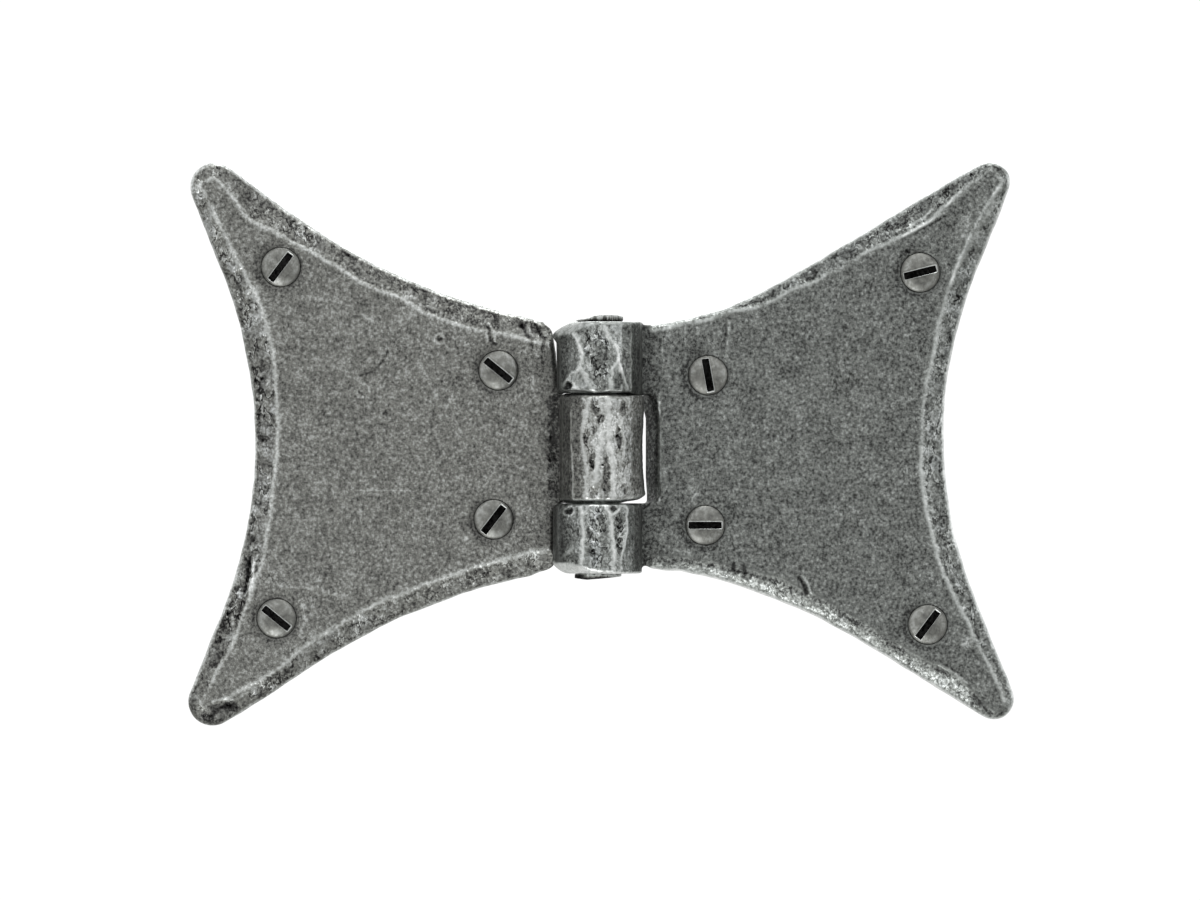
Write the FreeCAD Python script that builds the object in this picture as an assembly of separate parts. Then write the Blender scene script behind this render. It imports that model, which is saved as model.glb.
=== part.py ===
import FreeCAD, Part
import math
import os
from collections import namedtuple

# Hand forged butterfly hinge for surface mounting, opened flat, with its pin and screws.
# X runs to the right along the leaves, Z up along the pin, Y into the wood.
# The backs of both leaves lie on y = 0 and their fronts face -Y.
# x = 0 is the plane through the pin's axis, z = 0 the middle of the height over the horns.
# All sizes are in millimetres, angles in degrees.

# Strip and pin
PLATE_THICKNESS = 3.1
PIN_DIAMETER = 6.0
PIN_CLEARANCE = 0.08
PIN_HEAD_DIAMETER = 6.9
PIN_HEAD_RIM = 0.3
PIN_HEAD_DOME = 0.7

# Knuckles, from the top down
BARREL_TOP = 17.65
TOP_KNUCKLE_LENGTH = 10.4
TOP_KNUCKLE_GAP = 0.35
MIDDLE_KNUCKLE_LENGTH = 15.2
BOTTOM_KNUCKLE_GAP = 0.5
BOTTOM_KNUCKLE_LENGTH = 10.2
ROLL_SEAM = 0.25
KNUCKLE_EDGE_BREAK = 0.35
CLIP_WIDTH = 2.7
CLIP_HEIGHT = 1.7

# Inner edges of the leaves, and how far their corners stop short of the barrel's ends
LEFT_EDGE_CLEARANCE = 0.37
RECESS_CLEARANCE = 0.7
EDGE_ROUNDING = 0.8
LEFT_BOTTOM_STEP = 0.35
RIGHT_TOP_STEP = 0.5
RIGHT_BOTTOM_STEP = 1.2

# Horns: how far each reaches from the pin's axis and from mid height, and its rounded tip
LEFT_TOP_REACH = 59.85
LEFT_TOP_HEIGHT = 41.0
LEFT_BOTTOM_REACH = 60.15
LEFT_BOTTOM_HEIGHT = 41.4
LEFT_TIP_RADIUS = 3.6
RIGHT_TOP_REACH = 59.95
RIGHT_TOP_HEIGHT = 41.1
RIGHT_BOTTOM_REACH = 60.5
RIGHT_BOTTOM_HEIGHT = 40.4
RIGHT_TIP_RADIUS = 3.0

# Hollow sides: the radius of each arc, and the straight run from it to the horn
LEFT_TOP_RADIUS = 93.0
LEFT_TOP_STRAIGHT = 9.4
LEFT_BOTTOM_RADIUS = 93.7
LEFT_BOTTOM_STRAIGHT = 15.2
LEFT_OUTER_RADIUS = 65.8
LEFT_OUTER_STRAIGHT = 13.0
RIGHT_TOP_RADIUS = 54.2
RIGHT_TOP_STRAIGHT = 31.8
RIGHT_BOTTOM_RADIUS = 83.6
RIGHT_BOTTOM_STRAIGHT = 20.0
RIGHT_OUTER_RADIUS = 63.5
RIGHT_OUTER_STRAIGHT = 14.1

# Hammered bevel round the three hollow sides
BEVEL_WIDTH = 3.0
BEVEL_DROP = 1.2

# Wood screws with raised countersunk heads and closed slots
SCREW_LENGTH = 16.0
SHANK_DIAMETER = 2.84
SHANK_LENGTH = 5.4
THREAD_DIAMETER = 2.4
THREAD_RUN_OUT = 0.3
POINT_LENGTH = 2.6
HEAD_DIAMETER = 5.7
HEAD_ANGLE = 90.0
HEAD_LAND = 0.2
HEAD_DOME = 0.55
SLOT_END_WALL = 0.65
SLOT_WIDTH = 1.0
SLOT_DEPTH = 0.9
HOLE_CLEARANCE = 0.18
COUNTERSINK_MARGIN = 0.45
SEAT_CLEARANCE = 0.04

# Outer screws: distance in from the horn's tip centre, distance towards mid height, slot angle
LEFT_TOP_OUTER = (9.65, 11.7, 53.0)
LEFT_BOTTOM_OUTER = (9.35, 12.2, -39.0)
RIGHT_TOP_OUTER = (10.15, 13.2, 14.0)
RIGHT_BOTTOM_OUTER = (9.6, 10.9, 53.0)

# Inner screws: distance from the pin's axis, distance from mid height, slot angle
LEFT_TOP_INNER = (14.8, 10.6, -39.0)
LEFT_BOTTOM_INNER = (15.5, 11.15, 52.0)
RIGHT_TOP_INNER = (15.8, 9.9, -80.0)
RIGHT_BOTTOM_INNER = (15.4, 12.0, 0.0)

# Sizes that follow from those above
EYE_RADIUS = PIN_DIAMETER / 2 + PIN_CLEARANCE
KNUCKLE_RADIUS = EYE_RADIUS + PLATE_THICKNESS
FRONT = -PLATE_THICKNESS
PIN_Y = -KNUCKLE_RADIUS
TOP_KNUCKLE_BOTTOM = BARREL_TOP - TOP_KNUCKLE_LENGTH
MIDDLE_KNUCKLE_TOP = TOP_KNUCKLE_BOTTOM - TOP_KNUCKLE_GAP
MIDDLE_KNUCKLE_BOTTOM = MIDDLE_KNUCKLE_TOP - MIDDLE_KNUCKLE_LENGTH
BOTTOM_KNUCKLE_TOP = MIDDLE_KNUCKLE_BOTTOM - BOTTOM_KNUCKLE_GAP
BARREL_BOTTOM = BOTTOM_KNUCKLE_TOP - BOTTOM_KNUCKLE_LENGTH
LEFT_SHOULDER_BOTTOM = BARREL_BOTTOM + LEFT_BOTTOM_STEP
RIGHT_SHOULDER_TOP = BARREL_TOP - RIGHT_TOP_STEP
RIGHT_SHOULDER_BOTTOM = BARREL_BOTTOM + RIGHT_BOTTOM_STEP
LEFT_EDGE = KNUCKLE_RADIUS + LEFT_EDGE_CLEARANCE
RIGHT_EDGE = KNUCKLE_RADIUS + RECESS_CLEARANCE
MOUTH_RADIUS = HEAD_DIAMETER / 2 + COUNTERSINK_MARGIN
HOLE_RADIUS = SHANK_DIAMETER / 2 + HOLE_CLEARANCE
HEAD_SLOPE = math.tan(math.radians(HEAD_ANGLE / 2))
HEAD_BACK = FRONT + COUNTERSINK_MARGIN / HEAD_SLOPE - SEAT_CLEARANCE
SLOT_LENGTH = HEAD_DIAMETER - 2 * SLOT_END_WALL

# How far a cutter runs past what it cuts
OVERRUN = 1.0

V = FreeCAD.Vector
Tip = namedtuple("Tip", "centre radius")
Run = namedtuple("Run", "leave touch out")
Side = namedtuple("Side", "shoulder tip centre radius run")
Y_AXIS = V(0, 1, 0)
Z_AXIS = V(0, 0, 1)


def unit(v):
    return v.multiply(1 / v.Length) if v.Length else v


def direction(start, end):
    return unit(end.sub(start))


def along(point, way, distance):
    return point.add(V(way).multiply(distance))


def arc(centre, start, end):
    """The shorter arc about centre from start to end."""
    radius = start.distanceToPoint(centre)
    middle = unit(start.sub(centre).add(end.sub(centre)))
    return Part.Arc(start, along(centre, middle, radius), end).toShape()


def line(start, end):
    return Part.LineSegment(start, end).toShape()


def face(points):
    return Part.Face(Part.makePolygon(points + [points[0]]))


def meet(centre_a, radius_a, centre_b, radius_b, side):
    """The point at both radii from the two centres; side 1 is left of the way from a to b, -1 right."""
    gap = centre_a.distanceToPoint(centre_b)
    run = (gap**2 + radius_a**2 - radius_b**2) / (2 * gap)
    rise = math.sqrt(radius_a**2 - run**2)
    way = direction(centre_a, centre_b)
    across = V(-way.z, 0, way.x)
    return along(along(centre_a, way, run), across, side * rise)


def run_out(tip, centre, radius, straight, turn):
    """How a side leaves its arc and runs straight until it touches the tip's circle, and which way is out."""
    angle = turn * math.degrees(math.atan2(straight, radius + tip.radius))
    out = FreeCAD.Rotation(Y_AXIS, angle).multVec(direction(tip.centre, centre))
    return Run(along(centre, out, -radius), along(tip.centre, out, tip.radius), out)


def hollow_side(shoulder, tip, radius, straight, up):
    """A leaf's top or bottom side: an arc from its shoulder, then a straight run to the horn's tip."""
    reach = math.hypot(radius + tip.radius, straight)
    centre = meet(shoulder, radius, tip.centre, reach, up)
    return Side(shoulder, tip, centre, radius, run_out(tip, centre, radius, straight, up))


def bevel_round(centre, radius):
    """Cutter for the bevel along a hollow side: a cone about the middle of the side's arc."""
    slope = BEVEL_DROP / BEVEL_WIDTH
    away = V(1, 0, 0) if centre.x > 0 else V(-1, 0, 0)
    if abs(centre.z) > abs(centre.x):
        away = V(0, 0, math.copysign(1, centre.z))
    near = along(centre, away, radius - OVERRUN)
    far = along(centre, away, radius + BEVEL_WIDTH)
    profile = face(
        [
            near.add(V(0, FRONT - OVERRUN, 0)),
            far.add(V(0, FRONT - OVERRUN, 0)),
            far.add(V(0, FRONT, 0)),
            near.add(V(0, FRONT + BEVEL_DROP + slope * OVERRUN, 0)),
        ]
    )
    return profile.revolve(centre, Y_AXIS, 360)


def bevel_straight(run, past):
    """Cutter for the bevel along a side's straight run, and some way past where it touches the tip."""
    way = direction(run.leave, run.touch)
    slope = BEVEL_DROP / BEVEL_WIDTH
    edge = along(run.leave, run.out, OVERRUN)
    ridge = along(run.leave, run.out, -BEVEL_WIDTH)
    profile = face(
        [
            edge.add(V(0, FRONT - OVERRUN, 0)),
            ridge.add(V(0, FRONT - OVERRUN, 0)),
            ridge.add(V(0, FRONT, 0)),
            edge.add(V(0, FRONT + BEVEL_DROP + slope * OVERRUN, 0)),
        ]
    )
    return profile.extrude(V(way).multiply(run.leave.distanceToPoint(run.touch) + past))


def bevel_tip(tip, start, end, up):
    """Cutter for the bevel round a horn's tip, a sector of a cone between its two tangent points."""
    slope = BEVEL_DROP / BEVEL_WIDTH
    inner = max(0.0, tip.radius - BEVEL_WIDTH)
    outer = tip.radius + OVERRUN
    way = direction(tip.centre, start)
    inner_y = FRONT + BEVEL_DROP - slope * (tip.radius - inner)
    near = along(tip.centre, way, inner)
    far = along(tip.centre, way, outer)
    profile = face(
        [
            near.add(V(0, FRONT - OVERRUN, 0)),
            far.add(V(0, FRONT - OVERRUN, 0)),
            far.add(V(0, FRONT + BEVEL_DROP + slope * OVERRUN, 0)),
            near.add(V(0, inner_y, 0)),
        ]
    )
    sector = math.degrees(way.getAngle(direction(tip.centre, end)))
    return profile.revolve(tip.centre, V(0, up, 0), sector)


def edge_rounding(edge, low, high):
    """Cutter that rounds the front corner of the leaf's inner edge."""
    start = V(edge, FRONT + EDGE_ROUNDING, low)
    end = V(edge + EDGE_ROUNDING, FRONT, low)
    centre = V(edge + EDGE_ROUNDING, FRONT + EDGE_ROUNDING, low)
    corner = V(edge - OVERRUN, FRONT - OVERRUN, low)
    wire = Part.Wire(
        [
            arc(centre, start, end),
            line(end, V(end.x, corner.y, low)),
            line(V(end.x, corner.y, low), corner),
            line(corner, V(corner.x, start.y, low)),
            line(V(corner.x, start.y, low), start),
        ]
    )
    return Part.Face(wire).extrude(V(0, 0, high - low))


def winged_plate(edge, top, bottom, outer_radius, outer_straight):
    """The flat of one leaf, reaching to +X: its outline, its bevels and its rounded inner edge."""
    reach = math.hypot(outer_radius + top.tip.radius, outer_straight)
    centre = meet(bottom.tip.centre, reach, top.tip.centre, reach, -1)
    top_outer = run_out(top.tip, centre, outer_radius, outer_straight, -1)
    bottom_outer = run_out(bottom.tip, centre, outer_radius, outer_straight, 1)
    outline = Part.Wire(
        [
            line(bottom.shoulder, top.shoulder),
            arc(top.centre, top.shoulder, top.run.leave),
            line(top.run.leave, top.run.touch),
            arc(top.tip.centre, top.run.touch, top_outer.touch),
            line(top_outer.touch, top_outer.leave),
            arc(centre, top_outer.leave, bottom_outer.leave),
            line(bottom_outer.leave, bottom_outer.touch),
            arc(bottom.tip.centre, bottom_outer.touch, bottom.run.touch),
            line(bottom.run.touch, bottom.run.leave),
            arc(bottom.centre, bottom.run.leave, bottom.shoulder),
        ]
    )
    plate = Part.Face(outline).extrude(V(0, FRONT, 0))
    cutters = [
        bevel_round(top.centre, top.radius),
        bevel_round(bottom.centre, bottom.radius),
        bevel_round(centre, outer_radius),
        bevel_tip(top.tip, top.run.touch, top_outer.touch, 1),
        bevel_tip(bottom.tip, bottom.run.touch, bottom_outer.touch, -1),
        edge_rounding(edge, bottom.shoulder.z - OVERRUN, top.shoulder.z + OVERRUN),
    ]
    for end, outer in ((top, top_outer), (bottom, bottom_outer)):
        cutters += [bevel_straight(run, end.tip.radius) for run in (end.run, outer)]
    for cutter in cutters:
        plate = plate.cut(cutter)
    return plate


def rolled_eye(edge, low, high):
    """A knuckle: the strip runs behind the pin, rolls right round it and stops at a seam on the leaf."""
    lift = EYE_RADIUS - ROLL_SEAM
    outer_end = V(math.sqrt(KNUCKLE_RADIUS**2 - lift**2), PIN_Y + lift, low)
    inner_end = V(math.sqrt(EYE_RADIUS**2 - lift**2), PIN_Y + lift, low)
    root = edge + EDGE_ROUNDING
    outer_far = V(0, PIN_Y - KNUCKLE_RADIUS, low)
    inner_far = V(0, PIN_Y - EYE_RADIUS, low)
    wire = Part.Wire(
        [
            line(V(root, 0, low), V(0, 0, low)),
            Part.Arc(V(0, 0, low), V(-KNUCKLE_RADIUS, PIN_Y, low), outer_far).toShape(),
            arc(V(0, PIN_Y, low), outer_far, outer_end),
            line(outer_end, inner_end),
            arc(V(0, PIN_Y, low), inner_end, inner_far),
            Part.Arc(inner_far, V(-EYE_RADIUS, PIN_Y, low), V(0, FRONT, low)).toShape(),
            line(V(0, FRONT, low), V(root, FRONT, low)),
            line(V(root, FRONT, low), V(root, 0, low)),
        ]
    )
    eye = Part.Face(wire).extrude(V(0, 0, high - low))
    for level, way in ((high, 1), (low, -1)):
        eye = eye.cut(broken_edge(level, way))
    return eye


def broken_edge(level, way):
    """Cutter for the worn edge round one end of a knuckle, from behind the pin to the roll's end."""
    inner = KNUCKLE_RADIUS - KNUCKLE_EDGE_BREAK
    outer = KNUCKLE_RADIUS + OVERRUN
    past = level + way * OVERRUN
    profile = face(
        [
            V(0, PIN_Y + inner, level),
            V(0, PIN_Y + inner, past),
            V(0, PIN_Y + outer, past),
            V(0, PIN_Y + outer, level - way * (KNUCKLE_EDGE_BREAK + OVERRUN)),
        ]
    )
    return profile.revolve(V(0, PIN_Y, 0), Z_AXIS, 250)


def clipped_corner(level, way):
    """Cutter for the slanting corner at the far side of an outer knuckle's free end."""
    low = V(-KNUCKLE_RADIUS, -2 * KNUCKLE_RADIUS - OVERRUN, level - way * CLIP_HEIGHT)
    high = V(-KNUCKLE_RADIUS + CLIP_WIDTH, low.y, level)
    slant = high.sub(low)
    start = low.sub(slant)
    end = high.add(slant)
    profile = face([start, end, V(start.x, start.y, end.z)])
    return profile.extrude(V(0, 2 * (KNUCKLE_RADIUS + OVERRUN), 0))


def screw_hole(x, z):
    """Cutter for a countersunk screw hole."""
    depth = (MOUTH_RADIUS - HOLE_RADIUS) / HEAD_SLOPE
    mouth = MOUTH_RADIUS + OVERRUN * HEAD_SLOPE
    cone = Part.makeCone(mouth, HOLE_RADIUS, depth + OVERRUN, V(x, FRONT - OVERRUN, z), Y_AXIS)
    hole = Part.makeCylinder(HOLE_RADIUS, PLATE_THICKNESS + 2 * OVERRUN, V(x, FRONT - OVERRUN, z), Y_AXIS)
    return cone.fuse(hole)


def domed_head(radius, edge, dome, base, way):
    """A round head that stands on base along way: a straight edge of its own height under a dome."""
    height = edge + dome
    round_radius = (radius**2 + dome**2) / (2 * dome)
    blank = Part.makeCylinder(radius, height, base, way)
    return blank.common(Part.makeSphere(round_radius, along(base, way, height - round_radius)))


def wood_screw(x, z, slot_angle):
    """A slotted wood screw driven home at (x, z), its thread a plain stretch of its mean diameter."""
    head = HEAD_DIAMETER / 2
    shank = SHANK_DIAMETER / 2
    thread = THREAD_DIAMETER / 2
    neck = HEAD_BACK + (head - shank) / HEAD_SLOPE
    shank_end = HEAD_BACK + SHANK_LENGTH
    tip = HEAD_BACK + SCREW_LENGTH
    corners = [
        V(0, HEAD_BACK, 0),
        V(head, HEAD_BACK, 0),
        V(shank, neck, 0),
        V(shank, shank_end, 0),
        V(thread, shank_end + THREAD_RUN_OUT, 0),
        V(thread, tip - POINT_LENGTH, 0),
        V(0, tip, 0),
    ]
    body = face(corners).revolve(V(0, 0, 0), Y_AXIS, 360)
    body = body.fuse(domed_head(head, HEAD_LAND, HEAD_DOME, V(0, HEAD_BACK, 0), V(0, -1, 0)))
    top = HEAD_BACK - HEAD_LAND - HEAD_DOME
    slot_start = V(-SLOT_LENGTH / 2, top - OVERRUN, -SLOT_WIDTH / 2)
    slot = Part.makeBox(SLOT_LENGTH, SLOT_DEPTH + OVERRUN, SLOT_WIDTH, slot_start)
    screw = body.cut(slot).removeSplitter()
    screw.rotate(V(0, 0, 0), Y_AXIS, -slot_angle)
    screw.translate(V(x, 0, z))
    return screw


def peened_pin():
    """The pin: a plain shaft with a low domed head hammered over each end of the barrel."""
    length = BARREL_TOP - BARREL_BOTTOM
    shaft = Part.makeCylinder(PIN_DIAMETER / 2, length, V(0, PIN_Y, BARREL_BOTTOM))
    heads = [
        domed_head(PIN_HEAD_DIAMETER / 2, PIN_HEAD_RIM, PIN_HEAD_DOME, V(0, PIN_Y, level), V(0, 0, way))
        for level, way in ((BARREL_TOP, 1), (BARREL_BOTTOM, -1))
    ]
    return shaft.fuse(heads).removeSplitter()


def horn_tip(reach, height, radius, up):
    return Tip(V(reach - radius, 0, up * (height - radius)), radius)


def place_screws(tips, outer, inner):
    """Where one leaf's screws go, as x, z and slot angle, with the leaf reaching to +X."""
    places = {}
    for end, up in (("top", 1), ("bottom", -1)):
        inset, drop, angle = outer[end]
        centre = tips[end].centre
        places[end + "_outer"] = (centre.x - inset, centre.z - up * drop, angle)
        distance, height, angle = inner[end]
        places[end + "_inner"] = (distance, up * height, angle)
    return places


def left_leaf():
    """The left leaf, built reaching to +X and mirrored, and its screws' places."""
    tips = {
        "top": horn_tip(LEFT_TOP_REACH, LEFT_TOP_HEIGHT, LEFT_TIP_RADIUS, 1),
        "bottom": horn_tip(LEFT_BOTTOM_REACH, LEFT_BOTTOM_HEIGHT, LEFT_TIP_RADIUS, -1),
    }
    shoulder = V(LEFT_EDGE, 0, BARREL_TOP)
    top = hollow_side(shoulder, tips["top"], LEFT_TOP_RADIUS, LEFT_TOP_STRAIGHT, 1)
    shoulder = V(LEFT_EDGE, 0, LEFT_SHOULDER_BOTTOM)
    bottom = hollow_side(shoulder, tips["bottom"], LEFT_BOTTOM_RADIUS, LEFT_BOTTOM_STRAIGHT, -1)
    leaf = winged_plate(LEFT_EDGE, top, bottom, LEFT_OUTER_RADIUS, LEFT_OUTER_STRAIGHT)
    leaf = leaf.fuse(rolled_eye(LEFT_EDGE, MIDDLE_KNUCKLE_BOTTOM, MIDDLE_KNUCKLE_TOP))
    places = place_screws(
        tips,
        {"top": LEFT_TOP_OUTER, "bottom": LEFT_BOTTOM_OUTER},
        {"top": LEFT_TOP_INNER, "bottom": LEFT_BOTTOM_INNER},
    )
    for x, z, _ in places.values():
        leaf = leaf.cut(screw_hole(x, z))
    leaf = leaf.removeSplitter().mirror(V(0, 0, 0), V(1, 0, 0))
    return leaf, {name: (-x, z, angle) for name, (x, z, angle) in places.items()}


def right_leaf():
    """The right leaf with its two knuckles, and its screws' places."""
    tips = {
        "top": horn_tip(RIGHT_TOP_REACH, RIGHT_TOP_HEIGHT, RIGHT_TIP_RADIUS, 1),
        "bottom": horn_tip(RIGHT_BOTTOM_REACH, RIGHT_BOTTOM_HEIGHT, RIGHT_TIP_RADIUS, -1),
    }
    shoulder = V(RIGHT_EDGE, 0, RIGHT_SHOULDER_TOP)
    top = hollow_side(shoulder, tips["top"], RIGHT_TOP_RADIUS, RIGHT_TOP_STRAIGHT, 1)
    shoulder = V(RIGHT_EDGE, 0, RIGHT_SHOULDER_BOTTOM)
    bottom = hollow_side(shoulder, tips["bottom"], RIGHT_BOTTOM_RADIUS, RIGHT_BOTTOM_STRAIGHT, -1)
    leaf = winged_plate(RIGHT_EDGE, top, bottom, RIGHT_OUTER_RADIUS, RIGHT_OUTER_STRAIGHT)
    top_eye = rolled_eye(RIGHT_EDGE, TOP_KNUCKLE_BOTTOM, BARREL_TOP)
    bottom_eye = rolled_eye(RIGHT_EDGE, BARREL_BOTTOM, BOTTOM_KNUCKLE_TOP)
    top_eye = top_eye.cut(clipped_corner(BARREL_TOP, 1))
    bottom_eye = bottom_eye.cut(clipped_corner(BARREL_BOTTOM, -1))
    leaf = leaf.fuse([top_eye, bottom_eye])
    places = place_screws(
        tips,
        {"top": RIGHT_TOP_OUTER, "bottom": RIGHT_BOTTOM_OUTER},
        {"top": RIGHT_TOP_INNER, "bottom": RIGHT_BOTTOM_INNER},
    )
    for x, z, _ in places.values():
        leaf = leaf.cut(screw_hole(x, z))
    return leaf.removeSplitter(), places


def save(shape, name):
    """Write one piece and print its size."""
    shape.exportStep("parts/" + name + ".step")
    box = shape.BoundBox
    print(name, len(shape.Solids), "%.1f x %.1f x %.1f mm" % (box.XLength, box.YLength, box.ZLength))


os.makedirs("parts", exist_ok=True)
for leaf_name, build in (("left", left_leaf), ("right", right_leaf)):
    leaf_shape, screw_places = build()
    save(leaf_shape, leaf_name + "_leaf")
    for place_name, (screw_x, screw_z, slot) in screw_places.items():
        save(wood_screw(screw_x, screw_z, slot), "screw_" + leaf_name + "_" + place_name)
save(peened_pin(), "hinge_pin")
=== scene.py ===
import contextlib
import itertools
import math
import bmesh
import bpy
import numpy as np
from mathutils import Euler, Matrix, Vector, kdtree


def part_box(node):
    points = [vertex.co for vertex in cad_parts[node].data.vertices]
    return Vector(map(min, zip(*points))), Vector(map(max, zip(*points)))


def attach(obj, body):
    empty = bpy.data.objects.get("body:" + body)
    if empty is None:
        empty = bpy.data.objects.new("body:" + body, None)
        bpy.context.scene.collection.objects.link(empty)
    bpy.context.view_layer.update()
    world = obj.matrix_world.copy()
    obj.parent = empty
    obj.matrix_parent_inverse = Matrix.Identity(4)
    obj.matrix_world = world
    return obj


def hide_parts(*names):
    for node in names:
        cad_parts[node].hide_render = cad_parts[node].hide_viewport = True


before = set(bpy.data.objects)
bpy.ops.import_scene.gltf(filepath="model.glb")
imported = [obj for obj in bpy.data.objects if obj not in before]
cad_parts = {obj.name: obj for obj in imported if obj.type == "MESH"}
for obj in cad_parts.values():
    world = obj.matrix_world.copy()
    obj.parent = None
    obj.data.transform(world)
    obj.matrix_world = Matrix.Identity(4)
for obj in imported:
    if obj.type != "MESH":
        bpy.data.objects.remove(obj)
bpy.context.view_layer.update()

# A hand forged butterfly hinge in pewter patinated steel.
# Shapes are worked out in millimetres: X along the leaves, Y into the wood, Z along the pin.
MM = 0.001

# Sizes shared with the construction
PLATE = 3.1
PIN_Y = (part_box("hinge_pin")[0].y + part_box("hinge_pin")[1].y) / 2 / MM
KNUCKLE = -PIN_Y
EYE = KNUCKLE - PLATE
SEAM = 0.25
CAD_BEVEL = 3.0
BEVEL_SLOPE = 0.4
EDGE = 6.9
CAD_EDGES = {"left": 6.55, "right": 6.88}
ALONG_Y = (math.pi / 2, 0, 0)

# How high the pin's heads stand on the barrel
PIN_HEAD = 0.95

# How fine the meshes are: voxels in mm, the vertices kept in a leaf, and how deep its fine front goes
LEAF_VOXEL = 0.22
PIN_VOXEL = 0.2
VERTICES_KEPT = 92000
FINE_DEPTH = 1.8

# Screws: head, countersunk hole, slot and thread
HEAD_BACK = -2.69
HEAD_RADIUS = 2.85
HEAD_LAND = 0.2
HEAD_DOME = 0.55
SHANK_RADIUS = 1.42
SHANK_END = 5.4
SCREW_END = 16.0
THREAD_START = SHANK_END - 0.8
THREAD_PITCH = 1.15
THREAD_ROOT = 1.02
POINT = 3.2
MOUTH_RADIUS = 3.3
HOLE_RADIUS = 1.6
# Length, width and depth
SLOT = (4.95, 1.12, 0.9)
SLOT_CORNER = 0.16
BURR_RADIUS = 0.125
# The head's tone against radius: darker in the middle, as painted shade by the slot, and lighter on the
# dome's slope, as wear with a painted highlight
HEAD_TONES = (
    (0, 0.42), (1.3, 0.42), (1.9, 0.49), (2.2, 0.55), (2.45, 0.53), (2.62, 0.47), (2.76, 0.42),
    (2.85, 0.38),
)
SLOT_ANGLES = {
    "left_top_outer": 53,
    "left_top_inner": -39,
    "left_bottom_outer": -39,
    "left_bottom_inner": 52,
    "right_top_outer": 14,
    "right_top_inner": -80,
    "right_bottom_outer": 53,
    "right_bottom_inner": 0,
}

# Hammered bevels: width in mm against the distance from the pin, or against height on the outer sides
BEVELS = {
    "left": {
        "top": (
            (9, 3.3), (16, 3.3), (20, 3.9), (28, 3.1), (33, 3.3), (39, 3), (43, 3.3), (49, 4.3),
            (53, 2.9), (58, 2.2),
        ),
        "outer": (
            (-38, 1.8), (-33, 2.9), (-29, 3.8), (-21, 3.2), (-5, 2.9), (2, 3.2), (8, 3.6), (20, 3.8),
            (25, 3.3), (32, 2.2), (37, 1.4),
        ),
        "bottom": (
            (9, 3.3), (17, 3.1), (26, 2.9), (31, 3.3), (37, 3.3), (42, 2.8), (46, 2.2), (52, 3),
            (58, 2.1),
        ),
    },
    "right": {
        "top": (
            (9, 0.9), (19, 1), (22, 1.7), (27, 1.9), (33, 2.7), (37, 2.4), (42, 3), (46, 3.6),
            (53, 1.8), (58, 1.5),
        ),
        "outer": (
            (-38, 1.5), (-34, 2), (-26, 2.5), (-22, 3.2), (-8, 3.3), (0, 3.4), (5, 3.2), (13, 2.6),
            (20, 3.1), (25, 3.2), (30, 2.5), (38, 1.2),
        ),
        "bottom": (
            (9, 1.8), (19, 2.4), (26, 3), (32, 2.6), (38, 2.5), (45, 2.6), (51, 2.9), (54, 2.2),
            (59, 1.2),
        ),
    },
}
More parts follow.
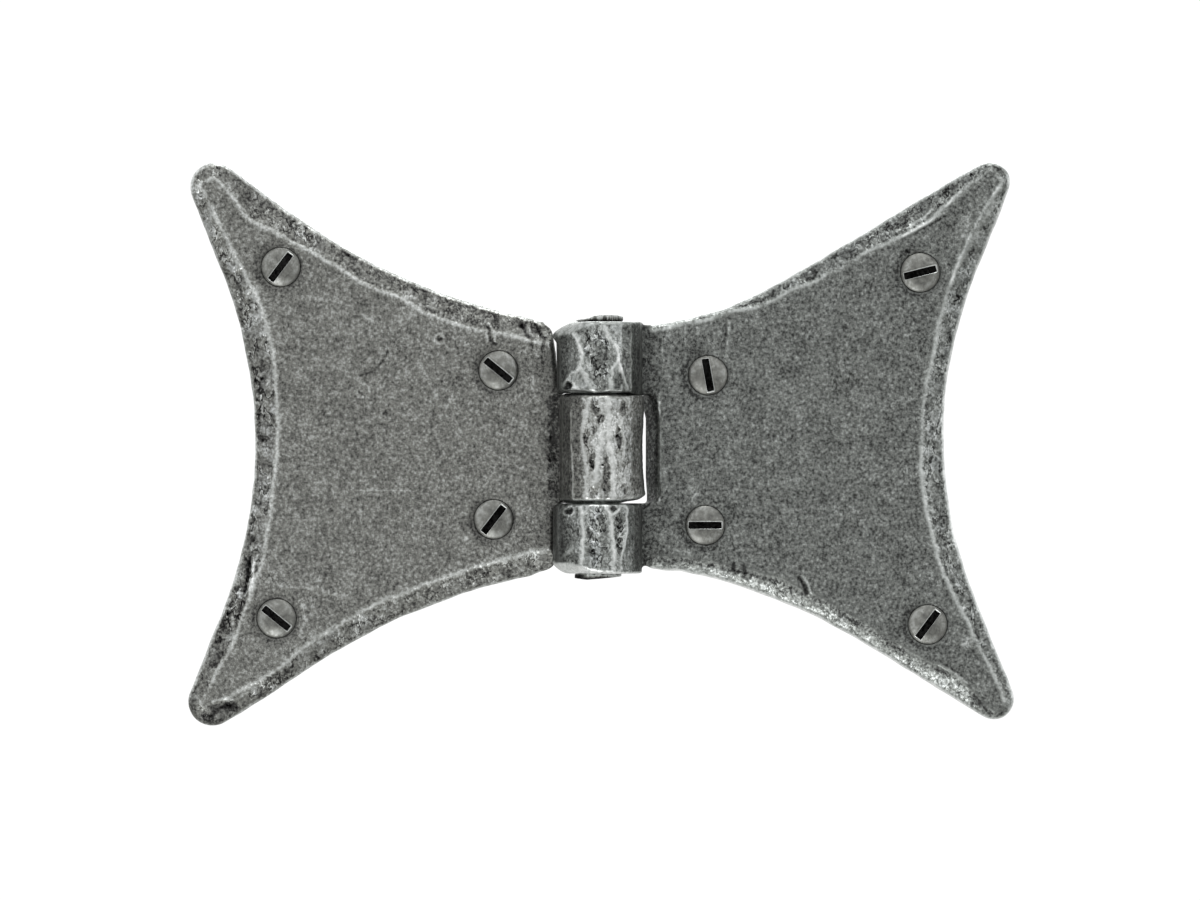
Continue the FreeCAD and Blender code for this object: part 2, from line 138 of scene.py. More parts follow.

# Knuckles, as seen from the front with every place as (x, z): the chamfer's arris at each end, and its
# rim there, bottom first, as (tone, 1 if bright all along), hammered ridges as (line, breadth, light),
# patches as (x, z, half width, half height, tone, crust) and pits as (x, z, half width, half height).
# Tones say how light the metal is against x: burnish, with a painted highlight down the front and painted
# shade on the flanks.
KNUCKLES = {
    "top": {
        "span": (7.25, 17.65),
        "top_arris": ((-6.2, 15.3), (-4.1, 15.95), (-2.5, 16.8), (0.3, 17.3), (2.7, 17.1), (6.2, 17.4)),
        "bottom_arris": (
            (-6.2, 7.5), (-3.1, 7.75), (-1.4, 7.6), (0.3, 7.5), (2.1, 7.7), (4.5, 7.65), (6.2, 7.4),
        ),
        "rims": ((0.85, 0), (0.62, 1)),
        "tones": (
            (-6.1, 0.27), (-5.2, 0.3), (-4.8, 0.4), (-3.3, 0.53), (-2.5, 0.53), (2.2, 0.54), (2.8, 0.66),
            (3.2, 0.66), (3.4, 0.38), (4.4, 0.39), (5, 0.31), (6.1, 0.29),
        ),
        "ridges": (
            (
                ((-4.15, 15.9), (-3.4, 15.3), (-2.95, 14.3), (-2.65, 12.9), (-2.75, 11.5), (-2.8, 10.6)),
                0.26, 0.3,
            ),
            (((-2.8, 10.6), (-3.9, 10.1), (-4.7, 9.4), (-5.4, 8.5)), 0.2, 0.25),
            (((-2.8, 10.6), (-1.9, 9.5), (-1.4, 8.3), (-1.1, 7.7)), 0.22, 0.22),
            (((0.3, 17.4), (1.4, 15.2), (2.4, 13.8), (2.75, 11.9)), 0.22, 0.24),
            (((2.75, 11.9), (2, 10.9), (1.6, 9.5), (1.65, 7.7)), 0.2, 0.26),
            (((2.75, 11.9), (3.25, 10.4), (3.7, 9), (4, 7.6)), 0.2, 0.26),
            (((4.6, 17.4), (4.62, 7.6)), 0.12, 0.18),
        ),
        "patches": (
            (-0.5, 13.9, 2, 2.5, 0.5, 1),
            (0.2, 9.8, 1.3, 2.2, 0.52, 0.9),
            (-3, 8.9, 1.4, 1.2, 0.66, 0.6),
            (2.9, 9, 0.8, 1.3, 0.4, 0.6),
            (2.4, 15.6, 0.8, 1.5, 0.62, 0.4),
        ),
        "pits": ((-4.8, 8.3, 0.95, 0.6),),
    },
    "middle": {
        "span": (-8.3, 6.9),
        "top_arris": (
            (-6.2, 6.4), (-4.4, 6.5), (-1, 6.65), (0.8, 6.65), (3.1, 6.5), (4.6, 6.55), (5.4, 6.9),
            (6.2, 6.95),
        ),
        "bottom_arris": ((-6.2, -8), (-3, -8), (0.5, -8.1), (3.6, -8), (6.6, -7.3)),
        "rims": ((0.85, 0.7), (0.56, 0)),
        "tones": (
            (-6.1, 0.32), (-4.3, 0.34), (-4, 0.36), (-2.9, 0.36), (-2.5, 0.54), (-1.5, 0.61), (0.3, 0.67),
            (2.2, 0.68), (2.6, 0.62), (4.7, 0.6), (5.1, 0.45), (6.1, 0.41),
        ),
        "ridges": (
            (
                (
                    (-1.6, 6.5), (-2.2, 4.4), (-2.5, 2.7), (-2.7, 0.6),
                    (-2.3, -1.6), (-1.95, -4), (-1.95, -8.1),
                ),
                0.24, 0.16,
            ),
            (((-4.2, 4.6), (-4.15, 0), (-3.85, -8.2)), 0.12, 0.22),
            (((1.2, 6.8), (1.4, 3), (1.2, 0), (1.9, -3), (2.1, -8.2)), 0.34, 0.13),
            (((0.5, 1.5), (-0.3, -2), (-0.8, -5.8)), 0.28, 0.12),
            (((3.4, 3.4), (3, 2.2), (3.7, 0.4), (3.4, -2.4)), 0.2, 0.12),
        ),
        "patches": (
            (-0.7, 5.2, 0.7, 1.1, 0.44, 1),
            (0.1, 3.5, 0.5, 0.8, 0.34, 1),
            (-0.9, 2, 0.45, 0.9, 0.5, 0.9),
            (3.5, 4.9, 0.7, 1.2, 0.42, 1),
            (-2.05, 0.9, 0.32, 1.3, 0.3, 0.7),
            (2.8, 0.9, 0.5, 1.7, 0.32, 0.9),
            (-1.1, -2.3, 0.45, 1.5, 0.4, 1),
            (1, -5.1, 0.65, 3.2, 0.45, 1),
            (-0.8, -7.1, 0.7, 0.8, 0.46, 1),
            (3.9, -7, 0.5, 0.5, 0.45, 0.8),
        ),
        "pits": ((2.9, 2, 0.2, 0.3), (0.4, -3.2, 0.18, 0.2)),
    },
    "bottom": {
        "span": (-19, -8.8),
        "top_arris": ((-6.2, -9.4), (-4, -9.15), (0, -9.1), (3, -9.2), (6.2, -9.3)),
        "bottom_arris": (
            (-6.2, -17.3), (-2.9, -17.6), (-1.6, -18.2), (0.3, -18.5), (2.6, -18.6), (6.2, -18.8),
        ),
        "rims": ((0.92, 1), (0.72, 0)),
        "tones": (
            (-6.1, 0.24), (-5.1, 0.26), (-4.7, 0.44), (-3, 0.49), (-2.3, 0.51), (1.5, 0.53), (3.8, 0.53),
            (4.2, 0.49), (5.1, 0.45), (5.4, 0.3), (6.1, 0.28),
        ),
        "ridges": (
            (((-2.9, -9.3), (-2.5, -10.4), (-2.4, -13.5), (-2.7, -17.6)), 0.24, 0.32),
            (((-1.6, -9.3), (-2.5, -10.4)), 0.2, 0.26),
            (((0.9, -9.3), (1.7, -10.4), (1.6, -12.1), (1.8, -13.5), (2, -15.6), (2.1, -18.7)), 0.24, 0.3),
            (((2.8, -9.6), (1.7, -10.4)), 0.2, 0.26),
            (((3.95, -9.3), (4, -11.4), (3.8, -14.2), (3.25, -16.3), (3, -18.7)), 0.16, 0.24),
            (((-3.9, -15.3), (-5.5, -16.9)), 0.22, 0.16),
        ),
        "patches": (
            (-0.4, -13.8, 1.5, 4.2, 0.49, 1),
            (2.8, -13, 0.8, 3, 0.47, 1),
            (2, -9.7, 0.6, 0.5, 0.3, 0.6),
            (-2.2, -9.6, 0.4, 0.35, 0.34, 0.6),
        ),
        "pits": ((-4.5, -10, 0.7, 0.5),),
    },
}
BACK_RIDGES = (-155, -122, -92, -68, 72, 96, 124, 156)
# How far each knuckle's flanks stand from the pin's axis, as (height, distance)
FLANKS = {
    "top": (((7.2, 6.2), (14.6, 6.3), (15.6, 6.95), (16.2, 7.15), (17.7, 7.1)), ((7.2, 6.18), (17.7, 6.18))),
    "middle": (
        ((-9, 5.8), (7, 5.8)),
        ((-8.8, 6.95), (-7.8, 6.75), (-6.3, 6.5), (-3.8, 6.3), (0, 6.22), (4.7, 6.45), (7, 6.5)),
    ),
    "bottom": (((-19, 6.9), (-17.5, 6.9), (-16.5, 6.8), (-9, 6.8)), ((-19, 6.1), (-9, 6.2))),
}
# How far a leaf's inner edge stands from the pin's axis, as (height, distance)
INNER_EDGES = {
    "left": (
        (-18.7, 8.1), (-18.4, 7.4), (-18, 6.85), (-17.4, 6.55), (-9.8, 6.5), (-9.1, 5.9), (-8.8, 5.3),
        (7.1, 5.3), (7.4, 5.6), (8, 6), (10.4, 6.05), (11, 6.28), (13.2, 6.45), (15.4, 6.78),
        (16, 6.9), (16.5, 7.1), (17, 7.5), (17.4, 8.2),
    ),
    "right": (
        (-9.2, 6.88), (-8.6, 6.75), (-7, 6.7), (-5, 6.55), (3.6, 6.55), (5.2, 6.2), (6.9, 6.2),
        (7.5, 6.88),
    ),
}
# Right leaf's recess: where its wall slopes, as (height, share), how much, and where its arris is
RECESS = ((-9, 0), (-8.5, 0.55), (-7.7, 1), (5.9, 1), (6.8, 0.5), (7.4, 0))
RECESS_SLOPE = 1.9
RECESS_ARRIS = 6.55 + RECESS_SLOPE + 0.1
# The right plate stands a little short of its knuckles: boxes cut off it, by two corners
PLATE_TRIMS = (((6.15, -9, 17.24), (7.7, 1, 18.2)), ((6.15, -9, -19.6), (7.7, 1, -17.95)))
# The middle knuckle's ends nearly fill their gaps, apart from the lower right corner
MIDDLE_TOP = 7.215
TOP_KNUCKLE_END = ((-5.5, 7.35), (-3.8, 7.5), (-2.4, 7.4), (-0.8, 7.19), (1.7, 7.34), (4.2, 7.3), (4.9, 6.95))
MIDDLE_BOTTOM = ((-6.6, -8.765), (2.9, -8.765), (3.9, -8.5), (5.2, -8.35), (6.7, -7.95))

# Leaves: what has three values goes by side, as (top, outer, bottom)
LEAVES = {
    "left": {
        "way": -1,
        "knuckles": ("middle",),
        "tone": 0.465,
        "painted_shade_by_pin": 0.06,
        "painted_bevel_light": (-0.03, 0, 0.02),
        "slopes": (0.1, 0.06, 0.08),
        "ridges": (0.24, 0.26, 0.24),
        "rims": (0.4, 0.34, 0.34),
        "rim_widths": (0.75, 0.52, 0.5),
        "crust": (0.45, 1, 0.55),
        "seed": 11,
    },
    "right": {
        "way": 1,
        "knuckles": ("top", "bottom"),
        "tone": 0.418,
        "painted_shade_by_pin": 0.09,
        "painted_bevel_light": (-0.02, 0.1, 0.07),
        "slopes": (0.1, 0.08, -0.16),
        "ridges": (0.22, 0.24, 0),
        "rims": (0.36, 0.46, 0.52),
        "rim_widths": (0.6, 0.62, 0.52),
        "crust": (0.5, 0.7, 0.3),
        "seed": 47,
    },
}

# Strokes on the leaves' fronts, as (points, width, height, tone): raised and bright, or cut and dark
STROKES = {
    "left": (
        (((-16.7, 17.3), (-16.1, 16.4), (-15.9, 14.9), (-15.3, 14.4)), 0.22, -0.12, -0.3),
        (((-11.4, 17.3), (-10.9, 15.9), (-10, 15.2), (-9.8, 13.9)), 0.2, -0.1, -0.24),
        (((-9, 17.4), (-8.7, 15.9), (-7.9, 15.2), (-8.2, 14.2)), 0.22, -0.12, -0.26),
        (((-10.4, 17.2), (-10.1, 16), (-9.3, 15.3)), 0.16, 0.05, 0.24),
        (((-7.4, 17.1), (-7.5, 15.4), (-7.2, 13.4)), 0.18, 0.05, 0.26),
        (((-16.2, 17.5), (-15.5, 16.2), (-15.3, 15)), 0.16, 0.06, 0.3),
        (((-16.6, 16.2), (-16.4, 14.9)), 0.16, 0.04, 0.22),
        (((-8.4, 13.8), (-8.5, 11.6)), 0.22, -0.06, -0.15),
        (((-9.75, 9.6), (-9.75, 7.7)), 0.18, 0.03, 0.18),
        (((-51.2, -17.1), (-51.4, -19.4), (-51.9, -21.7)), 0.36, -0.25, -0.38),
        (((-50.5, -16.9), (-50.7, -19.5), (-51.3, -21.9)), 0.2, 0.08, 0.34),
        (((-56.3, -38.8), (-54.9, -38.3), (-53.2, -38.6)), 0.62, -0.22, -0.36),
        (((-56.6, -37.8), (-55, -37.3), (-53.6, -37.5)), 0.18, 0.05, 0.24),
        (((-53.5, -22.8), (-54.6, -25.6)), 0.3, -0.15, -0.16),
        (((-55, -26.6), (-55.8, -29.6)), 0.35, -0.15, -0.14),
        (((-56, -30.2), (-56.4, -32.6)), 0.3, -0.1, -0.12),
        (((-52.6, -25.2), (-53.1, -27)), 0.25, -0.12, -0.25),
        (((-46.5, -21), (-42, -21.2), (-37, -22.6)), 0.3, 0.05, 0.12),
        (((-44.6, -22.2), (-43.3, -23.7), (-43, -26), (-44, -28.3)), 0.22, 0.05, 0.14),
        (((-43.6, 21.4), (-38, 20.6), (-33, 17.6)), 0.32, 0.04, 0.08),
        (((-35, 9.9), (-33.3, 10.3), (-32, 11.6), (-30.9, 13.3)), 0.16, -0.05, -0.22),
        (((-35.6, -6.95), (-31, -6.85), (-27.6, -6.95)), 0.14, 0.02, 0.18),
        (((-37.5, 28.1), (-36.4, 27.2), (-35.4, 27)), 0.28, -0.15, -0.28),
        (((-36.6, 25.6), (-35.2, 24.6)), 0.18, -0.06, -0.18),
        (((-41.5, -31.3), (-40.3, -31.9)), 0.35, -0.2, -0.2),
    ),
    "right": (
        (((18.9, 17.6), (18.7, 15.2), (18.5, 12.8)), 0.24, 0.05, 0.2),
        (((18.5, 17.4), (18.3, 13.2)), 0.2, -0.06, -0.15),
        (((9.2, 15.2), (9.1, 13.6), (9.3, 11.8)), 0.16, 0.03, 0.22),
        (((8.3, 14.6), (8.3, 12.6)), 0.14, 0.02, 0.14),
        (((29.1, -19.6), (29.8, -20.8), (30.2, -21.9)), 0.26, -0.12, -0.3),
        (((29.8, -19.4), (30.4, -20.6), (30.9, -21.9)), 0.16, 0.05, 0.3),
        (((14.9, -7.6), (14, -7.4), (13.5, -8.2), (13.9, -9.1), (14.7, -9.2)), 0.15, 0.02, 0.2),
        (((43.3, 30.9), (45.3, 31.6), (47.1, 32.7), (48.6, 34.2)), 0.18, 0.05, 0.26),
        (((44.2, 30.2), (48.2, 32.4), (50.8, 33.9)), 0.16, 0.04, 0.22),
        (((44.6, 29.9), (48.5, 32), (51, 33.4)), 0.16, -0.08, -0.2),
        (((50.6, 34.6), (51.5, 35.7), (52.6, 36.7), (53.3, 37.8)), 0.2, 0.05, 0.24),
        (((58.2, 37.3), (56.8, 35.3), (53.7, 29.5), (52.6, 27.1), (51.3, 23.4)), 0.26, 0.05, 0.26),
        (((55.6, 35.5), (53.6, 32.4), (52.4, 29.6)), 0.9, 0, 0.07),
        (((12.4, 16.7), (12.5, 14.9)), 0.18, 0.04, 0.18),
        (((10.2, 16.9), (10.1, 15.6)), 0.18, 0.04, 0.22),
        (((14.2, 16.9), (14.4, 15.9)), 0.16, 0.03, 0.2),
        (((49.5, -32.4), (51.6, -33.5), (53.6, -35)), 0.18, 0.05, 0.24),
        (((50.3, -32.2), (53, -34)), 0.14, -0.05, -0.18),
        (((19.5, -17.6), (19.7, -18.9)), 0.22, -0.12, -0.25),
        (((21, -17.9), (21.3, -19.1)), 0.2, -0.1, -0.22),
    ),
}
# Round dents, as (x, z, radius, depth, tone of the dent, tone of the lip round it)
DENTS = {
    "left": (
        (-23.4, 15.2, 0.42, 0.18, -0.3, 0.24),
        (-20.6, 9.6, 0.5, 0.08, -0.18, 0),
        (-31.1, 4.4, 0.7, 0.08, -0.16, 0),
        (-34.6, 7.7, 0.6, 0.04, -0.08, 0.1),
        (-22.9, 6.6, 0.8, 0.03, -0.05, 0.1),
        (-19.5, -13.9, 0.35, -0.05, 0.28, 0),
    ),
    "right": (
        (44.9, 28, 0.42, 0.15, -0.26, 0),
        (53.6, -29.2, 0.9, -0.03, 0.2, 0),
        (53.5, 30.1, 0.8, -0.03, 0.14, 0),
    ),
}


def smooth(low, high, value):
    """0 below low, 1 above high and a smooth rise between."""
    t = np.clip((value - low) / (high - low), 0, 1)
    return t * t * (3 - 2 * t)


def peak(value, width):
    """1 where a value is 0, falling off to either side."""
    return np.exp(-((value / width) ** 2))


def on_line(value, line):
    """Reads a line of (place, value) pairs."""
    return np.interp(value, *zip(*line))


def noise(points, size, seed):
    """Smooth random values from -1 to 1 that change over about size millimetres."""
    table = np.random.default_rng(seed).uniform(-1, 1, (32, 32, 32))
    at = np.asarray(points) / size
    low = np.floor(at).astype(int)
    t = at - low
    t = t * t * (3 - 2 * t)
    total = np.zeros(len(at))
    for corner in itertools.product((0, 1), repeat=3):
        share = np.prod(np.where(corner, t, 1 - t), axis=1)
        i, j, k = ((low + corner) % 32).T
        total += table[i, j, k] * share
    return total


def from_line(points, line):
    """Distance in the plane of the leaf from each point to a line of (x, z) points."""
    flat = points[:, (0, 2)]
    nearest = np.full(len(flat), 1e9)
    for start, end in zip(np.array(line[:-1], float), np.array(line[1:], float)):
        run = end - start
        t = np.clip((flat - start) @ run / (run @ run), 0, 1)
        nearest = np.minimum(nearest, np.linalg.norm(flat - start - t[:, None] * run, axis=1))
    return nearest


def coordinates(piece):
    """A piece's vertices in millimetres."""
    flat = np.empty(len(piece.data.vertices) * 3, np.float32)
    piece.data.vertices.foreach_get("co", flat)
    return flat.reshape(-1, 3).astype(float) / MM


def reshape(piece, points):
    """Moves a piece's vertices to points in millimetres."""
    piece.data.vertices.foreach_set("co", (points * MM).astype(np.float32).ravel())
    piece.data.update()


def vertex_normals(piece):
    """A piece's normals at its vertices."""
    flat = np.empty(len(piece.data.vertices) * 3, np.float32)
    piece.data.vertices.foreach_get("normal", flat)
    return flat.reshape(-1, 3).astype(float)


def attribute(piece, name, values):
    """Stores a value for each of a piece's vertices."""
    made = piece.data.attributes.new(name, "FLOAT", "POINT")
    made.data.foreach_set("value", values.astype(np.float32))


def only(piece):
    """Makes a piece the one that is selected and active."""
    bpy.ops.object.select_all(action="DESELECT")
    piece.select_set(True)
    bpy.context.view_layer.objects.active = piece


@contextlib.contextmanager
def editing(piece):
    """Edit mode on a piece."""
    only(piece)
    bpy.ops.object.mode_set(mode="EDIT")
    yield
    bpy.ops.object.mode_set(mode="OBJECT")


def add_object(name, data):
    """A new object in the scene."""
    made = bpy.data.objects.new(name, data)
    bpy.context.scene.collection.objects.link(made)
    return made


def modify(piece, kind, **settings):
    """Adds a modifier with its settings and applies it."""
    only(piece)
    modifier = piece.modifiers.new(kind, kind)
    for name, value in settings.items():
        setattr(modifier, name, value)
    bpy.ops.object.modifier_apply(modifier=modifier.name)


def copy_of_node(node, name):
    """A copy of a CAD node's mesh with its doubles merged."""
    piece = add_object(name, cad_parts[node].data.copy())
    piece.data.materials.clear()
    with editing(piece):
        bpy.ops.mesh.select_all(action="SELECT")
        bpy.ops.mesh.remove_doubles(threshold=0.001 * MM)
    return piece


def take_place(piece):
    """Puts a piece's place and turn into its mesh."""
    only(piece)
    bpy.ops.object.transform_apply(location=True, rotation=True, scale=True)


def merge(piece, others):
    """Joins other objects into a piece."""
    only(piece)
    for other in others:
        other.select_set(True)
    bpy.ops.object.join()


def primitive(kind, **settings):
    """A basic mesh, with its place and turn put into it."""
    bpy.ops.object.select_all(action="DESELECT")
    getattr(bpy.ops.mesh, "primitive_" + kind + "_add")(**settings)
    made = bpy.context.object
    take_place(made)
    return made


def cylinder(radius, start, end, x, z):
    """A cylinder along Y from start to end at (x, z)."""
    place = Vector((x, (start + end) / 2, z)) * MM
    size = {"radius": radius * MM, "depth": (end - start) * MM}
    return primitive("cylinder", vertices=96, location=place, rotation=ALONG_Y, **size)


def block(low, high):
    """A box between two corners."""
    low, high = Vector(low) * MM, Vector(high) * MM
    return primitive("cube", size=1, location=(low + high) / 2, scale=high - low)


def pin_bore(radius, low, high):
    """A round bar along the pin's axis."""
    place = Vector((0, PIN_Y, (low + high) / 2)) * MM
    return primitive("cylinder", vertices=128, radius=radius * MM, depth=(high - low) * MM, location=place)


def countersink(x, z):
    """Cutter for a countersunk screw hole: a cone, its small end drawn out through the plate."""
    past = 1.0
    depth = MOUTH_RADIUS - HOLE_RADIUS + past
    cutter = primitive(
        "cone",
        vertices=96,
        radius1=(MOUTH_RADIUS + past) * MM,
        radius2=HOLE_RADIUS * MM,
        depth=depth * MM,
        location=Vector((x, -PLATE - past + depth / 2, z)) * MM,
        rotation=(-math.pi / 2, 0, 0),
    )
    with editing(cutter):
        bpy.ops.mesh.select_all(action="DESELECT")
    for polygon in cutter.data.polygons:
        polygon.select = polygon.normal.y > 0.9
    with editing(cutter):
        bpy.ops.mesh.select_mode(type="FACE")
        bpy.ops.mesh.extrude_region_move(TRANSFORM_OT_translate={"value": (0, (PLATE + past) * MM, 0)})
    return cutter


def cut_away(piece, cutters):
    """Cuts cutters that don't meet each other out of a piece."""
    cutter = cutters[0]
    if cutters[1:]:
        merge(cutter, cutters[1:])
    modify(piece, "BOOLEAN", operation="DIFFERENCE", solver="MANIFOLD", object=cutter)
    bpy.data.objects.remove(cutter)


def screw_axes(side):
    """Where one leaf's screws stand, as x and z."""
    found = []
    for name in SLOT_ANGLES:
        if name.startswith(side):
            low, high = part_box("screw_" + name)
            middle = (low + high) / 2 / MM
            found.append((middle.x, middle.z))
    return found


def hollow_outline(piece, way, axes):
    """Points along a leaf's three hollow sides, each with the way out of the metal there."""
    mesh = bmesh.new()
    mesh.from_mesh(piece.data)
    places, outs = [], []
    for edge in mesh.edges:
        walls = [face.normal for face in edge.link_faces if abs(face.normal.y) < 0.2]
        backs = [face for face in edge.link_faces if face.normal.y > 0.9]
        if not walls or not backs:
            continue
        out = walls[0]
        middle = (edge.verts[0].co + edge.verts[1].co) / 2 / MM
        near_hole = any(math.hypot(middle.x - x, middle.z - z) < MOUTH_RADIUS + 1 for x, z in axes)
        by_pin = way * middle.x < EDGE or (way * middle.x < 12 and abs(out.z) < 0.5)
        if near_hole or way * out.x < -0.95 or by_pin:
            continue
        start, end = (vertex.co / MM for vertex in edge.verts)
        for t in np.linspace(0, 1, max(2, int((end - start).length / 0.2))):
            place = start.lerp(end, t)
            places.append((place.x, place.z))
            outs.append((out.x, out.z))
    mesh.free()
    return np.array(places), np.array(outs)


def nearest_on(outline, points):
    """Depth inside the nearest hollow side, the nearest point on it and its way out of the metal there."""
    places, outs = outline
    tree = kdtree.KDTree(len(places))
    for index, (x, z) in enumerate(places):
        tree.insert((x, 0, z), index)
    tree.balance()
    flat = points[:, (0, 2)]
    index = np.array([tree.find((x, 0, z))[1] for x, z in flat])
    near, out = places[index], outs[index]
    return ((near - flat) * out).sum(axis=1), near, out


def by_side(out, top, outer, bottom):
    """Blends values of a leaf's three sides by the way out of the metal."""
    upward = smooth(0.2, 0.6, out[:, 1])
    downward = smooth(0.2, 0.6, -out[:, 1])
    return top * upward + outer * (1 - upward - downward) + bottom * downward


def bevel_width(side, near, out):
    """How wide the hammered bevel is at each point of the sides."""
    widths = BEVELS[side]
    reach, height = np.abs(near[:, 0]), near[:, 1]
    top, bottom = on_line(reach, widths["top"]), on_line(reach, widths["bottom"])
    return by_side(out, top, on_line(height, widths["outer"]), bottom)


def cells(points, size, seed):
    """Flakes about size mm across: a random value for each, and how deep inside its flake a point is."""
    table = np.random.default_rng(seed).uniform(0, 1, (32, 32, 32, 4))
    at = points / size
    home = np.floor(at).astype(int)
    nearest = np.full(len(at), 9.0)
    second = nearest.copy()
    value = np.zeros(len(at))
    for offset in itertools.product((-1, 0, 1), repeat=3):
        cell = home + offset
        i, j, k = (cell % 32).T
        away = np.linalg.norm(at - cell - table[i, j, k, :3], axis=1)
        second = np.where(away < nearest, nearest, np.minimum(second, away))
        value = np.where(away < nearest, table[i, j, k, 3], value)
        nearest = np.minimum(nearest, away)
    return value, (second - nearest) * size


def crust(points, flake, seed):
    """Forge scale: long cracks round flakes of differing light, and pits. Height in mm, and tone."""
    bent = points + 0.6 * flake * np.stack([noise(points, 0.7 * flake, seed + k) for k in range(3)], axis=1)
    value, inside = cells(bent, flake, seed + 3)
    wander = noise(bent, 1.3 * flake, seed + 7)
    broken = smooth(-0.2, 0.4, noise(points, 2.2, seed + 4))
    crack = np.maximum(peak(wander, 0.09), 0.6 * smooth(0.22, 0.04, inside)) * broken
    lip = peak(np.abs(wander) - 0.22, 0.08) * broken
    pits = smooth(0.50, 0.75, noise(bent, 0.8, seed + 5))
    grain = noise(points, 0.5, seed + 6)
    height = 0.08 * (value - 0.5) - 0.09 * crack + 0.04 * lip - 0.10 * pits + 0.03 * grain
    tone = 0.16 * (value - 0.5) - 0.24 * crack + 0.14 * lip - 0.22 * pits + 0.08 * grain
    return height, tone


def shape_inner_edge(points, side):
    """Sets a leaf's inner edge back or forward, and slopes the wall of the right leaf's recess."""
    way = LEAVES[side]["way"]
    cad_edge = CAD_EDGES[side]
    reach = way * points[:, 0]
    z = points[:, 2]
    fade = np.clip(1 - (reach - cad_edge) / 3.6, 0, 1) * (reach > cad_edge - 0.25)
    if side == "left":
        low, high = KNUCKLES["middle"]["span"]
        fade = fade * ((z > high + 0.05) | (z < low - 0.05))
    shift = on_line(z, INNER_EDGES[side]) - cad_edge
    wall = np.zeros(len(z))
    if side == "right":
        wall = on_line(z, RECESS)
        shift = shift + RECESS_SLOPE * np.clip(-points[:, 1] / PLATE, 0, 1) * wall
    moved = points.copy()
    on_plate = points[:, 1] > -PLATE - 0.3
    moved[:, 0] += way * shift * fade * on_plate
    # The knuckle on the other leaf needs its room
    close = np.hypot(moved[:, 0], moved[:, 1] - PIN_Y)
    outside = (fade > 0) & on_plate & (wall == 0)
    push = np.where(outside, np.clip(KNUCKLE + 0.3 - close, 0, 1), 0)
    moved[:, 1] += push * (moved[:, 1] - PIN_Y) / close
    moved[:, 0] += push * moved[:, 0] / close
    return moved, wall


def close_gaps(points):
    """Lets the middle knuckle's ends nearly fill their gaps, behind a broken rim."""
    x, y, z = points.T
    radius = np.hypot(x, y - PIN_Y)
    root = smooth(KNUCKLE + 0.07, KNUCKLE + 0.27, radius) * (y > -PLATE - 0.1)
    core = np.maximum(smooth(5.3, 5.0, radius), root)
    on_knuckle = x > 0.1 - CAD_EDGES["left"]
    share = np.maximum(core, 0.35) * on_knuckle
    low, high = KNUCKLES["middle"]["span"]
    moved = points.copy()
    moved[:, 2] += share * smooth(high - 0.5, high - 0.05, z) * (MIDDLE_TOP - high)
    bottom = on_line(x, MIDDLE_BOTTOM)
    share = np.where(bottom > low, on_knuckle, share)
    moved[:, 2] += share * smooth(low + 0.9, low + 0.05, z) * (bottom - low)
    return moved


def lower_skirt(points):
    """Waves the top knuckle's lower end, and draws its far flank down outside the middle one's end."""
    x, y, z = points.T
    low = KNUCKLES["top"]["span"][0]
    where = np.maximum(smooth(4.3, 4.9, x), smooth(PIN_Y + 0.5, PIN_Y - 0.5, y))
    where *= (x < 6.7) * smooth(5.4, 5.65, np.hypot(x, y - PIN_Y))
    end = on_line(x, TOP_KNUCKLE_END)
    moved = points.copy()
    moved[:, 2] += where * smooth(low + 0.6, low + 0.05, z) * (z > low - 0.2) * (end - low)
    return moved


